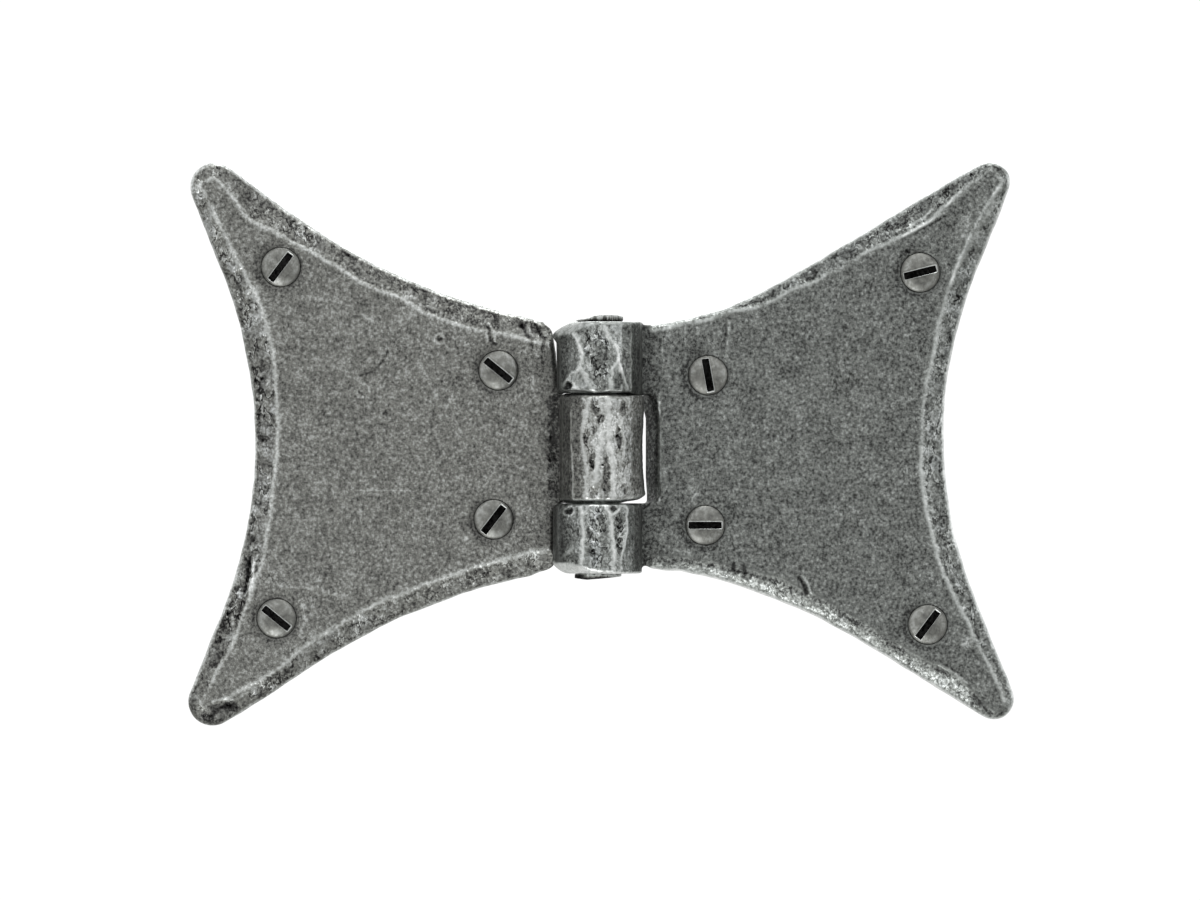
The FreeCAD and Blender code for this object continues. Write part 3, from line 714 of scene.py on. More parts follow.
def sculpt_plate(points, side, outline, axes):
    """Hammers a leaf's flat. Returns moved points, tone and how crusty each point is."""
    leaf = LEAVES[side]
    seed = leaf["seed"]
    x, y, z = points.T
    reach = leaf["way"] * x
    depth, near, out = nearest_on(outline, points)
    flat_near = np.stack([near[:, 0], np.zeros(len(near)), near[:, 1]], axis=1)
    waver = 0.22 * noise(flat_near, 4.0, seed) + 0.1 * noise(flat_near, 1.6, seed + 1)
    within = bevel_width(side, near, out) + waver - depth
    on_plate = smooth(EDGE - 0.2, EDGE + 0.9, reach) * (y > -PLATE - 0.4)
    cad_front = -PLATE + BEVEL_SLOPE * np.clip(CAD_BEVEL - depth, 0, CAD_BEVEL)
    lift = np.clip(y / cad_front, 0, 1)
    ramp = (within + np.sqrt(within**2 + 0.12)) / 2
    front = -PLATE + BEVEL_SLOPE * ramp - 0.06 * peak(within + 0.1, 0.30)
    front += 0.35 * np.clip(1 - depth / 0.55, 0, 1) ** 2
    bevel = smooth(-0.35, 0.25, within)
    height, tone = crust(points, 1.5, seed + 10)
    blows = 0.10 * noise(points, 5.5, seed + 20) * bevel + 0.05 * noise(points, 9.0, seed + 21)
    crusty = bevel * by_side(out, *leaf["crust"])
    crusty = np.clip(crusty * (1 + 0.6 * noise(points, 6.0, seed + 26)), 0, 1)
    front -= height * (0.12 + 0.88 * crusty) + blows
    shade = tone * (0.12 + 0.88 * crusty)
    slope = by_side(out, *leaf["slopes"]) * (smooth(1.9, 0.3, within) - 0.4)
    # Painted light on the bevels by the way each faces: darker on top, lighter below and on the right leaf's
    # outer side
    shade += bevel * (by_side(out, *leaf["painted_bevel_light"]) + slope)
    if side == "left":
        # Lighter up the outer side, and dark on the lower horn's tip
        shade += 0.12 * bevel * by_side(out, 0, 1, 0) * smooth(13, 20, z)
        shade -= 0.16 * bevel * smooth(53, 57, reach) * smooth(-34, -38, z)
    lit_ridge = peak(within + 0.05, 0.32) * smooth(-1.3, -0.2, noise(points, 2.6, seed + 22))
    shade += (by_side(out, *leaf["ridges"]) - 0.9 * tone * crusty) * lit_ridge
    shade -= 0.12 * peak(within - 0.55, 0.22) * smooth(-0.1, 0.5, noise(points, 2.1, seed + 23))
    rim = smooth(0.0, 1.0, (by_side(out, *leaf["rim_widths"]) - depth) / 0.55)
    rim *= 0.9 + 0.2 * noise(points, 1.5, seed + 24)
    shade += (by_side(out, *leaf["rims"]) - 0.8 * tone * crusty) * rim
    shade += 0.05 * noise(points, 3.5, seed + 27) * smooth(0.3, 0.6, noise(points, 9.0, seed + 28))
    rough = 0.9 * crusty + 0.2 * smooth(0.0, 0.6, noise(points, 5.0, seed + 25))
    rough += (-0.7 - rough) * np.clip(lit_ridge + rim, 0, 1)
    for line, breadth, rise, light in STROKES[side]:
        strength = peak(from_line(points, line), breadth)
        front -= rise * strength
        shade += light * strength
    for dent_x, dent_z, radius, drop, light, lip in DENTS[side]:
        away = np.hypot(x - dent_x, z - dent_z) / radius
        strength = np.exp(-(away**4))
        front += drop * strength
        shade += light * strength + lip * peak(away - 1.7, 0.35)
    # The plate sinks a little round each screw, with painted shade round its head, darker on the side away
    # from the light
    for screw_x, screw_z in axes:
        ring = np.hypot(x - screw_x, z - screw_z)
        away_from_light = 1 - (0.9 * (x - screw_x) + 0.4 * (z - screw_z)) / np.maximum(ring, 1)
        front += 0.14 * smooth(MOUTH_RADIUS + 1.0, MOUTH_RADIUS - 0.2, ring)
        shade -= 0.09 * smooth(MOUTH_RADIUS + 1.1, MOUTH_RADIUS - 0.2, ring) * away_from_light
    moved = points.copy()
    level = np.maximum(y + lift * (front - cad_front), front)
    moved[:, 1] += on_plate * (level - y)
    wave = 0.10 * noise(flat_near, 6.0, seed + 30) + 0.06 * noise(flat_near, 1.7, seed + 31)
    if side == "right":
        wave += 0.4 * by_side(out, 0, 0, 1) * smooth(12, 9, reach)
    wave *= on_plate * smooth(1.2, 0.2, depth)
    moved[:, 0] += wave * out[:, 0]
    moved[:, 2] += wave * out[:, 1]
    moved, wall = shape_inner_edge(moved, side)
    reach = leaf["way"] * moved[:, 0]
    in_front = smooth(0.05, 0.45, lift)
    # Painted shade on the plate next to the knuckles, deepest by the pin
    shade = shade * on_plate * in_front - leaf["painted_shade_by_pin"] * smooth(11.0, 6.0, reach)
    rough *= 0.2 + 0.8 * in_front
    if side == "right":
        shade += 0.18 * (1 - on_plate) * ((z > 17.45) | (z < -18.8))
    grit = (0.14 * noise(points, 0.55, seed + 33) - 0.07) * smooth(RECESS_ARRIS, RECESS_ARRIS - 0.2, reach)
    shade += wall * (0.40 * peak(reach - RECESS_ARRIS - 0.12, 0.20) + grit)
    if side == "left":
        # Painted shade in the valley where the plate meets the middle knuckle
        shaded_valley = smooth(7.9, 7.2, reach) * smooth(-8.5, -7.9, z) * smooth(7.1, 6.5, z)
        shade -= 0.13 * shaded_valley
        rough = np.maximum(rough, shaded_valley)
    return moved, leaf["tone"] + shade, np.clip(rough, -0.8, 1) * on_plate + 0.3 * (1 - on_plate)


def unrolled(x, z):
    """A knuckle's surface laid flat: distance round it from the front, and height."""
    return np.stack([KNUCKLE * np.arcsin(np.clip(np.asarray(x) / KNUCKLE, -1, 1)), z], axis=-1)


def sculpt_knuckle(points, name, seed):
    """Hammers a knuckle. Returns moved points, tone, crust and which points are its skin."""
    knuckle = KNUCKLES[name]
    low, high = knuckle["span"]
    x, y, z = points[:, 0], points[:, 1] - PIN_Y, points[:, 2]
    radius = np.hypot(x, y)
    angle = np.arctan2(x, -y)
    degrees = np.degrees(angle)
    facing = np.abs(degrees) < 80
    across = KNUCKLE * np.sin(np.clip(angle, -math.pi / 2, math.pi / 2))
    mine = (z > low - 0.6) & (z < high + 0.6) & (radius < KNUCKLE + 0.4)
    by_end = smooth(2.2, 1.6, np.minimum(z - low, high - z)) * (name != "middle")
    inner = KNUCKLE - 1.6 - 1.2 * by_end
    free_side = smooth(0.5, -0.5, x * LEAVES["left" if name == "middle" else "right"]["way"])
    before_plate = smooth(-PLATE + 0.2, -PLATE - 0.5, points[:, 1])
    skin = mine * smooth(inner, inner + 1.1, radius) * np.maximum(free_side, before_plate)
    sheet = np.stack([KNUCKLE * angle, np.zeros(len(z)), z], axis=1)
    bent = sheet + 0.22 * np.stack([noise(sheet, 0.9, seed + k) for k in range(3)], axis=1)
    ridges = []
    for line, breadth, light in knuckle["ridges"]:
        flat = unrolled(*np.array(line).T)
        ridges.append((from_line(bent, [tuple(point) for point in flat]), breadth, light))
    for turn in BACK_RIDGES:
        at = math.radians(turn) * KNUCKLE
        ridges.append((from_line(bent, [(at, low - 1), (at, high + 1)]), 0.2, 0.08))
    nearest = np.min([away for away, breadth, light in ridges], axis=0)
    push = -0.16 * smooth(0.0, 1.5, nearest)
    # Burnish, and painted light by the place across the knuckle: a highlight down its front, shade on its
    # flanks
    burnish_and_painted_light = on_line(across, knuckle["tones"]) + 0.04
    burnish_and_painted_light += 0.05 * noise(sheet * (1, 1, 0.12), 0.5, seed + 53) * smooth(0.45, 0.35, burnish_and_painted_light)
    base = burnish_and_painted_light.copy()
    rough = np.interp(burnish_and_painted_light, (0.28, 0.42, 0.6), (-0.55, 0.3, 0.45))
    for x0, z0, half_width, half_height, tone, crusty in knuckle["patches"]:
        at = unrolled(x0, z0)
        away = np.hypot((bent[:, 0] - at[0]) / half_width, (bent[:, 2] - at[1]) / half_height)
        strength = smooth(1.15, 0.80, away) * facing
        base += (tone - base) * strength
        rough += (1.15 * crusty - rough) * strength
        push -= 0.05 * strength
    height, flaky = crust(sheet * (1.0, 1.0, 0.6), 0.9, seed + 40)
    flecks = 0.1 + 0.7 * np.clip(rough, 0, 1)
    shade = base + flaky * flecks * smooth(0.15, 0.45, base)
    push += height * flecks
    for away, breadth, light in ridges:
        strength = peak(away, breadth + 0.06) * smooth(-1.4, -0.5, noise(sheet, 1.6, seed + 52))
        shade += (burnish_and_painted_light + light - shade) * strength
        rough += (-0.8 - rough) * strength
        push += 0.05 * strength
    for x0, z0, half_width, half_height in knuckle["pits"]:
        at = unrolled(x0, z0)
        away = np.hypot((bent[:, 0] - at[0]) / half_width, (bent[:, 2] - at[1]) / half_height)
        strength = smooth(1.2, 0.7, away) * facing
        push -= 0.25 * strength
        shade += (0.12 - shade) * strength + 0.32 * peak(away - 1.45, 0.22) * facing
    bottom_rim, top_rim = knuckle["rims"]
    for arris, sign, (rim, all_round) in (
        (knuckle["top_arris"], 1, top_rim),
        (knuckle["bottom_arris"], -1, bottom_rim),
    ):
        beyond = sign * (z - on_line(across, arris) - 0.12 * noise(sheet, 1.1, seed + 60))
        front = np.maximum(smooth(125, 95, np.abs(degrees)), free_side)
        past = np.clip(beyond, 0, None)
        push -= (0.25 * past + 0.5 * past**2) * front
        # Painted highlight on the chamfer's rim, with wear: where the knuckle's tone is light, or all along
        # where the rim is set so
        lit = smooth(-0.12, 0.08, beyond) * front * np.maximum(smooth(0.40, 0.50, base), all_round)
        shade += (rim + 0.3 * flaky - shade) * lit * 0.9
        rough += (-0.6 - rough) * lit
    left, right = (on_line(z, line) for line in FLANKS[name])
    side = smooth(40, 82, np.abs(degrees)) * smooth(150, 98, np.abs(degrees))
    push += (np.where(x < 0, left, right) - KNUCKLE) * side
    push *= skin
    moved = points.copy()
    moved[:, 0] += push * x / np.maximum(radius, 0.1)
    moved[:, 1] += push * y / np.maximum(radius, 0.1)
    return moved, shade, rough, skin


def forged_leaf(side):
    """A leaf with its knuckles: solid steel first, hammered, then drilled, bored and slit."""
    leaf = LEAVES[side]
    name = side + "_leaf"
    way = leaf["way"]
    axes = screw_axes(side)
    piece = copy_of_node(name, "forged_" + name)
    if side == "right":
        cut_away(piece, [block(low, high) for low, high in PLATE_TRIMS])
    outline = hollow_outline(piece, way, axes)
    fillers = [cylinder(MOUTH_RADIUS + 0.05, -PLATE, 0, x, z) for x, z in axes]
    for knuckle in leaf["knuckles"]:
        low, high = KNUCKLES[knuckle]["span"]
        ends = sorted((0, way * (KNUCKLE - 0.9)))
        fillers.append(pin_bore(EYE + 0.1, low, high))
        fillers.append(block((ends[0], -PLATE - SEAM - 0.1, low), (ends[1], -PLATE + 0.1, high)))
    if side == "right":
        # Steel behind the chamfers at the barrel's two ends
        bottom, top = KNUCKLES["bottom"]["span"][0], KNUCKLES["top"]["span"][1]
        for low, high in ((top - 2.2, top), (bottom, bottom + 2.2)):
            fillers.append(pin_bore(KNUCKLE - 0.03, low, high))
    merge(piece, fillers)
    modify(piece, "REMESH", mode="VOXEL", voxel_size=LEAF_VOXEL * MM)
    modify(piece, "SMOOTH", factor=0.5, iterations=2)
    points = coordinates(piece)
    sculpted, tone, rough = sculpt_plate(points, side, outline, axes)
    for knuckle in leaf["knuckles"]:
        pushed, shade, crusty, skin = sculpt_knuckle(points, knuckle, leaf["seed"] + 100)
        sculpted += pushed - points
        tone = tone * (1 - skin) + shade * skin
        rough = rough * (1 - skin) + crusty * skin
    sculpted = close_gaps(sculpted) if side == "left" else lower_skirt(sculpted)
    reshape(piece, sculpted)
    round_the_edge(piece, nearest_on(outline, points)[0])
    thin_the_back(piece)
    cut_away(piece, [countersink(x, z) for x, z in axes])
    for knuckle in leaf["knuckles"]:
        low, high = KNUCKLES[knuckle]["span"]
        cut_away(piece, [pin_bore(EYE, low - 1, high + 1)])
        ends = sorted((way * 0.3, way * (KNUCKLE + 0.6)))
        cut_away(piece, [block((ends[0], -PLATE - SEAM, low - 1), (ends[1], -PLATE, high + 1))])
    paint(piece, sculpted, {"tone": tone, "crust": rough}, axes)
    finish_mesh(piece)
    return piece


def modify_some(piece, chosen, kind, **settings):
    """Applies a modifier to some of a piece's vertices."""
    group = piece.vertex_groups.new(name="chosen")
    group.add([int(i) for i in np.nonzero(chosen)[0]], 1.0, "REPLACE")
    modify(piece, kind, vertex_group="chosen", **settings)
    piece.vertex_groups.clear()


def round_the_edge(piece, depth):
    """Wears the plate's outer edge round and even."""
    beyond_pin = np.abs(coordinates(piece)[:, 0]) > EDGE + 0.6
    modify_some(piece, (depth < 0.6) & beyond_pin, "SMOOTH", factor=0.5, iterations=5)


def thin_the_back(piece):
    """Keeps the fine mesh for the front and thins the rest, so that the piece stays light."""
    points = coordinates(piece)
    x, y = points[:, 0], points[:, 1]
    hidden = (y > FINE_DEPTH - PLATE) | (np.hypot(x, y - PIN_Y) < EYE + 1.2)
    modify_some(piece, hidden, "DECIMATE", ratio=VERTICES_KEPT / len(points), vertex_group_factor=1.0)


def paint(piece, sculpted, layers, axes):
    """Gives each vertex what the sculpted surface beside it has, and darkens the countersinks with oxide and
    painted shade.
    """
    tree = kdtree.KDTree(len(sculpted))
    for index, point in enumerate(sculpted):
        tree.insert(point, index)
    tree.balance()
    points = coordinates(piece)
    index = np.array([tree.find(point)[1] for point in points])
    ring = np.min([np.hypot(points[:, 0] - x, points[:, 2] - z) for x, z in axes], axis=0)
    sunk = ring < MOUTH_RADIUS - 0.04
    # Oxide and painted shade in the countersinks
    countersink_oxide_and_shade = np.interp(ring, (HEAD_RADIUS, MOUTH_RADIUS), (0.35, 0.37))
    attribute(piece, "tone", np.where(sunk, countersink_oxide_and_shade, layers["tone"][index]))
    attribute(piece, "crust", np.where(sunk, -0.3, layers["crust"][index]))


def finish_mesh(piece, angle=50):
    """Triangles throughout, and smooth shading except over sharp edges."""
    modify(piece, "TRIANGULATE")
    only(piece)
    bpy.ops.object.shade_smooth_by_angle(angle=math.radians(angle))


def peened_pin():
    """The pin, its heads roughened by the hammer."""
    piece = copy_of_node("hinge_pin", "peened_pin")
    modify(piece, "REMESH", mode="VOXEL", voxel_size=PIN_VOXEL * MM)
    points = coordinates(piece)
    low, high = (corner.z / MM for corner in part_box("hinge_pin"))
    x, y, z = points.T.copy()
    seat, lower_seat = high - PIN_HEAD, low + PIN_HEAD
    top, bottom = smooth(seat - 0.2, seat, z), smooth(lower_seat + 0.2, lower_seat, z)
    # The top head is peened thin on the left; the bottom one is flat, and thin on the right
    radius = np.hypot(x, y - PIN_Y)
    dome = 0.75 * np.clip(1 - radius / 3.35, 0, 1)
    crown_line = ((-3.5, -0.70), (-1.8, -0.45), (-0.6, -0.05), (0.3, 0.05), (2.3, 0.05), (3.3, -0.15))
    crown = high + on_line(x, crown_line)
    foot = low + on_line(x, ((-3.5, 0.25), (-1.5, 0.10), (0.5, 0.25), (3.0, 0.5)))
    rounded = 0.06 * smooth(2.9, 3.4, radius)
    points[:, 2] += top * (np.clip((z - seat) / (0.2 + dome), 0, 1) * (crown - rounded - seat) - (z - seat))
    sunk = np.clip((lower_seat - z) / (0.2 + dome), 0, 1)
    points[:, 2] += bottom * (sunk * (foot + rounded - lower_seat) - (z - lower_seat))
    points[:, 0] -= 0.27 * bottom
    blows = noise(points, 1.8, 71)
    grain = noise(points, 0.6, 72)
    outward = vertex_normals(piece)
    push = (0.03 * blows + 0.01 * grain - 0.02) * (top + bottom)
    reshape(piece, points + outward * push[:, None])
    z = points[:, 2]
    # Painted shadow just under the top head, fading out towards its left, and on the bottom head's underside
    # rim
    under = top * smooth(seat + 0.28, seat + 0.18, z) * smooth(-3.4, -1.4, x)
    shadow_line = low + on_line(points[:, 0], ((-3.5, 0.90), (-1.0, 0.62), (0.7, 0.45), (3.0, 0.42)))
    shadow = bottom * smooth(shadow_line + 0.06, shadow_line - 0.06, z) * smooth(2.3, 2.9, radius)
    attribute(piece, "tone", 0.74 + 0.04 * blows + 0.03 * grain - 0.64 * np.clip(under + shadow, 0, 1))
    attribute(piece, "crust", np.full(len(points), -0.5))
    finish_mesh(piece)
    return piece


def turned(profile):
    """A turned piece about Y: a disc at the profile's first (radius, y), drawn out through the rest."""
    radius, start = profile[0]
    disc = {"vertices": 96, "radius": radius * MM, "fill_type": "NGON"}
    piece = primitive("circle", location=(0, start * MM, 0), rotation=ALONG_Y, **disc)
    with editing(piece):
        bpy.ops.mesh.select_mode(type="FACE")
        bpy.ops.mesh.select_all(action="SELECT")
        for new_radius, y in profile[1:]:
            bpy.ops.mesh.extrude_region_move(TRANSFORM_OT_translate={"value": (0, (y - start) * MM, 0)})
            share = new_radius / radius
            bpy.ops.transform.resize(value=(share, 1, share), center_override=(0, y * MM, 0))
            radius, start = new_radius, y
        bpy.ops.mesh.select_all(action="SELECT")
        bpy.ops.mesh.normals_make_consistent(inside=False)
    return piece


def dome_height(r):
    """How far the head's dome stands out at a radius."""
    ball = (HEAD_RADIUS**2 + HEAD_DOME**2) / (2 * HEAD_DOME)
    return HEAD_LAND + HEAD_DOME - ball + math.sqrt(ball**2 - r**2)


def thread():
    """The screw's thread: one turn's profile wound down the shank and drawn in to the point."""
    start = THREAD_START
    turns = int((SCREW_END - start) / THREAD_PITCH) + 1
    root, crest = THREAD_ROOT, SHANK_RADIUS
    profile = [(root, 0), (root, 0.45), (crest, 0.72), (crest, 0.80), (root, THREAD_PITCH)]
    mesh = bpy.data.meshes.new("thread")
    corners = [(0, (start + y) * MM, -r * MM) for r, y in profile]
    mesh.from_pydata(corners, list(itertools.pairwise(range(len(corners)))), [])
    piece = add_object("thread", mesh)
    modify(
        piece,
        "SCREW",
        axis="Y",
        angle=2 * math.pi,
        screw_offset=THREAD_PITCH * MM,
        iterations=turns,
        steps=32,
        render_steps=32,
        use_merge_vertices=True,
        merge_threshold=0.001 * MM,
    )
    points = coordinates(piece)
    y = points[:, 1]
    taper = np.clip((SCREW_END - y) / POINT, 0.02, 1) ** 0.8
    entry = smooth(start, start + 1.6, y)
    radius = np.hypot(points[:, 0], points[:, 2])
    limit = root * 0.9 + (radius - root * 0.9) * entry
    share = limit * taper / radius
    points[:, 0] *= share
    points[:, 2] *= share
    points[:, 1] = np.minimum(y, SCREW_END)
    reshape(piece, points)
    with editing(piece):
        bpy.ops.mesh.select_all(action="SELECT")
        bpy.ops.mesh.remove_doubles(threshold=0.02 * MM)
        bpy.ops.mesh.select_mode(type="EDGE")
        bpy.ops.mesh.select_all(action="DESELECT")
        bpy.ops.mesh.select_non_manifold()
        bpy.ops.mesh.fill()
        bpy.ops.mesh.select_all(action="SELECT")
        bpy.ops.mesh.normals_make_consistent(inside=False)
    return piece


def slot_burr():
    """The burr that the slitting saw left round the slot, following the dome, later painted light as the slot
    rim's highlight.
    """
    length, width, _ = SLOT
    corner = SLOT_CORNER
    path = []
    for quarter, (sx, sz) in enumerate(((1, 1), (-1, 1), (-1, -1), (1, -1))):
        centre_x, centre_z = sx * (length / 2 - corner), sz * (width / 2 - corner)
        for turn in np.radians(np.linspace(90 * quarter, 90 * quarter + 90, 5)):
            path.append((centre_x + corner * math.cos(turn), centre_z + corner * math.sin(turn)))
        # Then straight on, along the slot or across it
        way_x, way_z = ((-1, 0), (0, -1), (1, 0), (0, 1))[quarter]
        run, steps = (length - 2 * corner, 12) if way_x else (width - 2 * corner, 3)
        for _ in range(1, steps):
            x, z = path[-1]
            path.append((x + way_x * run / steps, z + way_z * run / steps))
    curve = bpy.data.curves.new("burr", "CURVE")
    curve.dimensions = "3D"
    curve.bevel_depth = BURR_RADIUS * MM
    curve.bevel_resolution = 2
    spline = curve.splines.new("POLY")
    spline.points.add(len(path) - 1)
    for point, (x, z) in zip(spline.points, path):
        point.co = (x * MM, (0.02 - dome_height(math.hypot(x, z))) * MM, z * MM, 1)
        point.radius = 0.2 + 0.7 * np.clip(x / (length / 2), 0, 1) ** 6 + 0.3 * (z > 0)
    spline.use_cyclic_u = True
    only(add_object("burr", curve))
    bpy.ops.object.convert(target="MESH")
    return bpy.context.object


def wood_screw(materials):
    """A slotted wood screw at the origin, its head towards -Y."""
    profile = [(SHANK_RADIUS, SHANK_END), (SHANK_RADIUS, HEAD_RADIUS - SHANK_RADIUS)]
    profile += [(HEAD_RADIUS - 0.06, 0.06), (HEAD_RADIUS, -0.02), (HEAD_RADIUS, -HEAD_LAND + 0.05)]
    profile += [(r, -dome_height(r)) for r in (2.78, 2.5, 2.1, 1.6, 1.0, 0.4)]
    piece = turned(profile)
    length, width, depth = SLOT
    top = -dome_height(0)
    cut_away(piece, [block((-length / 2, top - 1, -width / 2), (length / 2, top + depth, width / 2))])
    winding = thread()
    burr = slot_burr()
    for part, index in ((piece, 0), (winding, 0), (burr, 2)):
        part.data.materials.clear()
        for material in materials:
            part.data.materials.append(material)
        for polygon in part.data.polygons:
            polygon.material_index = index
    # The slot's walls and floor take the near black of the painted shadow
    for polygon in piece.data.polygons:
        middle = polygon.center / MM
        in_slot = abs(middle.x) < length / 2 + 0.01 and abs(middle.z) < width / 2 + 0.01
        dome = -dome_height(math.hypot(middle.x, middle.z))
        if in_slot and dome + 0.02 < middle.y < top + depth + 0.01:
            polygon.material_index = 1
    merge(piece, [winding, burr])
    finish_mesh(piece, 35)
    points = coordinates(piece)
    ring = np.hypot(points[:, 0], points[:, 2])
    # Painted shade and highlight by radius, with mottling
    tone = on_line(ring, HEAD_TONES) + 0.06 * noise(points, 1.1, 91) + 0.04 * noise(points, 0.5, 92)
    # Fine scratches
    tone += 0.07 * noise(points * (0.3, 1, 2.0), 0.5, 93)
    attribute(piece, "tone", tone)
    attribute(piece, "crust", np.full(len(points), -0.75))
    return piece


def drive_screws(screw):
    """Puts a copy of the screw where each of the eight stands, its slot turned as it was left."""
    for name, slot_angle in SLOT_ANGLES.items():
        low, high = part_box("screw_" + name)
        piece = add_object("driven_screw_" + name, screw.data.copy())
        piece.rotation_euler = Euler((0, math.radians(-slot_angle), 0))
        piece.location = ((low.x + high.x) / 2, HEAD_BACK * MM, (low.z + high.z) / 2)
        take_place(piece)
        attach(piece, name.split("_")[0] + "_side")
        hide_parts("screw_" + name)
    bpy.data.objects.remove(screw)


def linear(hex_colour):
    """An sRGB hex colour as linear RGBA."""
    parts = [int(hex_colour[k : k + 2], 16) / 255 for k in (1, 3, 5)]
    return [c / 12.92 if c <= 0.04045 else ((c + 0.055) / 1.055) ** 2.4 for c in parts] + [1]


def add(tree, kind, inputs, stops=(), **settings):
    """Adds a node with its settings and stops; each input is a value or another node's output."""
    made = tree.nodes.new("ShaderNode" + kind)
    for name, value in settings.items():
        setattr(made, name, value)
    for socket, value in inputs.items():
        if isinstance(value, bpy.types.NodeSocket):
            tree.links.new(value, made.inputs[socket])
        else:
            made.inputs[socket].default_value = value
    for index, (position, colour) in enumerate(stops):
        element = made.color_ramp.elements[index] if index < 2 else made.color_ramp.elements.new(position)
        element.position = position
        element.color = linear(colour)
    return made.outputs


def blank(name):
    """A new material's tree, with its surface output."""
    material = bpy.data.materials.new(name)
    material.use_nodes = True
    tree = material.node_tree
    tree.nodes.clear()
    return material, tree, tree.nodes.new("ShaderNodeOutputMaterial")


def pewter_steel(name, stops, tone=None):
    """Forged mild steel with a pewter patina: dark oxide in the hollows, burnished where it stands proud, and
    painted shade and highlights carried in the mesh's tone.

    The eye sees a mid grey, finely salt and peppered by the scale left under the wax, and on the
    hammered edges flakes of scale with long cracks, each with a bright lip. How crusty it is comes
    with the mesh: -1 where burnished, 1 on flaking scale and more where it is caked."""
    material, tree, output = blank(name)

    def calculate(operation, *values, clamp=False):
        inputs = dict(enumerate(values))
        return add(tree, "Math", inputs, operation=operation, use_clamp=clamp)["Value"]

    def spread(value, start, end, low, high):
        inputs = {"Value": value, "From Min": start, "From Max": end, "To Min": low, "To Max": high}
        return add(tree, "MapRange", inputs)["Result"]

    def grain(size, detail, place):
        inputs = {"Vector": place, "Scale": 1 / (size * MM), "Detail": detail, "Roughness": 0.65}
        return add(tree, "TexNoise", inputs)

    place = add(tree, "TexCoord", {})["Object"]
    crust_share = add(tree, "Attribute", {}, attribute_name="crust")["Fac"]
    if tone is None:
        tone = add(tree, "Attribute", {}, attribute_name="tone")["Fac"]
    scale_share = calculate("MAXIMUM", crust_share, 0.0)
    # Pepper of 0.42 mm, clouds of 3 mm, flakes of 1.6 mm and cracks 2 mm apart, longer along the pin
    fine = grain(0.42, 2.0, place)
    cloud = grain(3, 4.0, place)["Fac"]
    shift = add(tree, "VectorMath", {0: fine["Color"], "Scale": 0.7 * MM}, operation="SCALE")["Vector"]
    bent = add(tree, "VectorMath", {0: place, 1: shift}, operation="ADD")["Vector"]
    flake = add(tree, "TexVoronoi", {"Vector": bent, "Scale": 1 / (1.6 * MM)})["Color"]
    flake = calculate("SUBTRACT", flake, 0.5)
    tall = add(tree, "VectorMath", {0: place, 1: (1.0, 1.0, 0.55)}, operation="MULTIPLY")["Vector"]
    wander = calculate("SUBTRACT", grain(2.0, 3.0, tall)["Fac"], 0.5)
    crack = spread(calculate("ABSOLUTE", wander), 0.004, 0.026, -0.34, 0.0)
    lip = spread(calculate("ABSOLUTE", calculate("SUBTRACT", wander, 0.045)), 0.004, 0.024, 0.26, 0.0)
    patchy = spread(cloud, 0.40, 0.52, 0.0, 1.0)
    line = calculate("MULTIPLY", calculate("ADD", crack, lip), patchy)
    scale_tone = calculate("MULTIPLY_ADD", flake, 0.32, line)
    scale_tone = calculate("MULTIPLY", scale_tone, calculate("MULTIPLY_ADD", scale_share, 0.80, 0.14))
    burnish = calculate("MINIMUM", crust_share, 0.0)
    caked = calculate("MAXIMUM", calculate("SUBTRACT", crust_share, 1.0), 0.0)
    amount = calculate("MULTIPLY_ADD", burnish, 0.80, calculate("MULTIPLY_ADD", caked, 0.9, 0.85))
    pepper = calculate("MULTIPLY", calculate("SUBTRACT", fine["Fac"], 0.5), amount)
    level = calculate("ADD", calculate("MULTIPLY_ADD", cloud, 0.22, -0.11), tone)
    level = calculate("ADD", calculate("ADD", level, pepper), scale_tone, clamp=True)
    colour = add(tree, "ValToRGB", {"Fac": level}, stops=stops)["Color"]
    blue_share = calculate("MULTIPLY", scale_share, spread(flake, 0.0, 0.3, 0.0, 0.15), clamp=True)
    colour = add(
        tree,
        "MixRGB",
        {"Fac": blue_share, "Color1": colour, "Color2": linear("#E8EDFF")},
        blend_type="MULTIPLY",
    )["Color"]
    rough = spread(level, 0.2, 0.8, 0.56, 0.32)
    height = calculate("MULTIPLY_ADD", scale_tone, 2.0, pepper)
    bump = add(tree, "Bump", {"Height": height, "Strength": 0.5, "Distance": 0.08 * MM})["Normal"]
    shader = add(
        tree,
        "BsdfPrincipled",
        {"Base Color": colour, "Metallic": 1.0, "Roughness": rough, "Normal": bump},
    )["BSDF"]
    tree.links.new(shader, output.inputs["Surface"])
    return material


GREYS = ((0.0, "#070707"), (0.25, "#3E3E3D"), (0.5, "#7E7F7B"), (0.75, "#BDC0BE"), (1.0, "#F6F8F7"))
COOL_GREYS = ((0.0, "#070707"), (0.25, "#3D3E3D"), (0.5, "#7D807D"), (0.75, "#BCC0BE"), (1.0, "#F6F8F7"))


# In metres: the floor's size and level, and the lamps as (name, place, size, watts)
FLOOR_SIZE = 30
FLOOR_LEVEL = -0.8
LAMPS = (
    ("overhead", (0.05, -0.25, 0.95), 0.40, 3.5),
    ("low_left", (-0.25, -0.65, -0.57), 0.36, 2.0),
    ("back", (0.1, 0.8, 0.6), 0.6, 3.0),
)


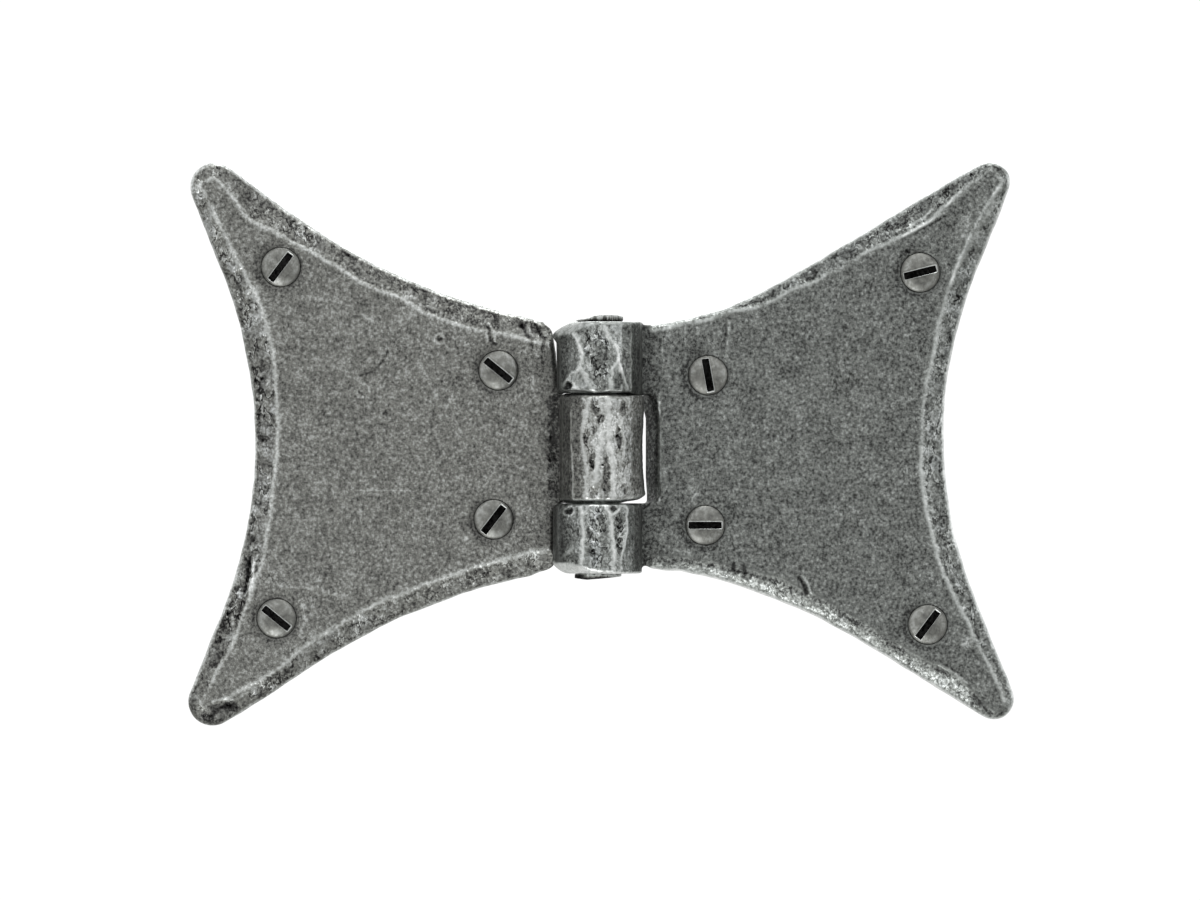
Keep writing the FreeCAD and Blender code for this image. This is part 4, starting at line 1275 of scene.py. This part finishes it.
def studio():
    """A pale floor well below, a white surround that the steel mirrors too, and three soft lamps."""
    bpy.ops.object.select_all(action="DESELECT")
    bpy.ops.mesh.primitive_plane_add(size=FLOOR_SIZE, location=(0, 0, FLOOR_LEVEL))
    floor = bpy.context.object
    floor.name = "studio_floor"
    material, tree, output = blank("matt_white_paper")
    # Coated paper: nearly white and dull, its tooth drawn at 4 mm, and nothing from below
    place = add(tree, "TexCoord", {})["Object"]
    tooth = add(tree, "TexNoise", {"Vector": place, "Scale": 250.0, "Detail": 2.0})["Fac"]
    colour = add(tree, "ValToRGB", {"Fac": tooth}, stops=((0.3, "#F6F6F4"), (0.7, "#FAFAF8")))["Color"]
    paper = add(tree, "BsdfPrincipled", {"Base Color": colour, "Roughness": 0.9})["BSDF"]
    clear = add(tree, "BsdfTransparent", {})["BSDF"]
    under = add(tree, "NewGeometry", {})["Backfacing"]
    shader = add(tree, "MixShader", {0: under, 1: paper, 2: clear})["Shader"]
    tree.links.new(shader, output.inputs["Surface"])
    floor.data.materials.append(material)
    world = bpy.data.worlds.new("studio_white")
    bpy.context.scene.world = world
    world.use_nodes = True
    tree = world.node_tree
    tree.nodes.clear()
    ray = add(tree, "LightPath", {})
    seen = {0: ray["Is Camera Ray"], 1: ray["Is Glossy Ray"]}
    seen = add(tree, "Math", seen, operation="MAXIMUM")["Value"]
    seen = add(tree, "Math", {0: seen, 1: ray["Is Transmission Ray"]}, operation="MAXIMUM")["Value"]
    strength = add(tree, "MapRange", {"Value": seen, "To Min": 0.6, "To Max": 1.07})["Result"]
    light = add(tree, "Background", {"Color": (1, 1, 1, 1), "Strength": strength})["Background"]
    output = tree.nodes.new("ShaderNodeOutputWorld")
    tree.links.new(light, output.inputs["Surface"])
    for name, place, size, power in LAMPS:
        lamp = bpy.data.lights.new(name, "AREA")
        lamp.size = size
        lamp.energy = power
        holder = add_object(name, lamp)
        holder.location = place
        holder.rotation_euler = (-Vector(place)).to_track_quat("-Z", "Y").to_euler()


# The picture's width at the leaves' fronts, and its middle
FRAME_WIDTH = 175.2
FRAME_CENTRE = (0.03, -PLATE, -1.02)


def camera():
    """A long lens square on to the leaves, framed as the photograph is."""
    lens = bpy.data.cameras.new("camera")
    lens.lens = 300
    lens.sensor_width = 36
    lens.clip_end = 20
    holder = add_object("camera", lens)
    distance = FRAME_WIDTH * lens.lens / lens.sensor_width
    holder.location = (Vector(FRAME_CENTRE) - Vector((0, distance, 0))) * MM
    holder.rotation_euler = ALONG_Y
    bpy.context.scene.camera = holder


def dress(piece, body, node, material):
    """Gives a piece its finish and its body, and hides the CAD node that it stands for."""
    piece.data.materials.clear()
    piece.data.materials.append(material)
    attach(piece, body)
    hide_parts(node)


camera()
studio()
dress(forged_leaf("left"), "left_side", "left_leaf", pewter_steel("pewter_steel_left", GREYS))
right_steel = pewter_steel("pewter_steel_right", COOL_GREYS)
dress(forged_leaf("right"), "right_side", "right_leaf", right_steel)
dress(peened_pin(), "right_side", "hinge_pin", pewter_steel("pewter_steel_pin", GREYS))
screw_steel = pewter_steel("pewter_steel_screw", GREYS)
# The slot's walls and floor painted near black: painted shadow
slot_shadow = pewter_steel("painted_shadow_in_the_slot", GREYS, tone=0.03)
# The saw's burr, painted light as a highlight along the slot's rim
burr_steel = pewter_steel("saw_burr_painted_highlight", GREYS, tone=0.72)
drive_screws(wood_screw([screw_steel, slot_shadow, burr_steel]))
bpy.context.scene.view_settings.view_transform = "Standard"
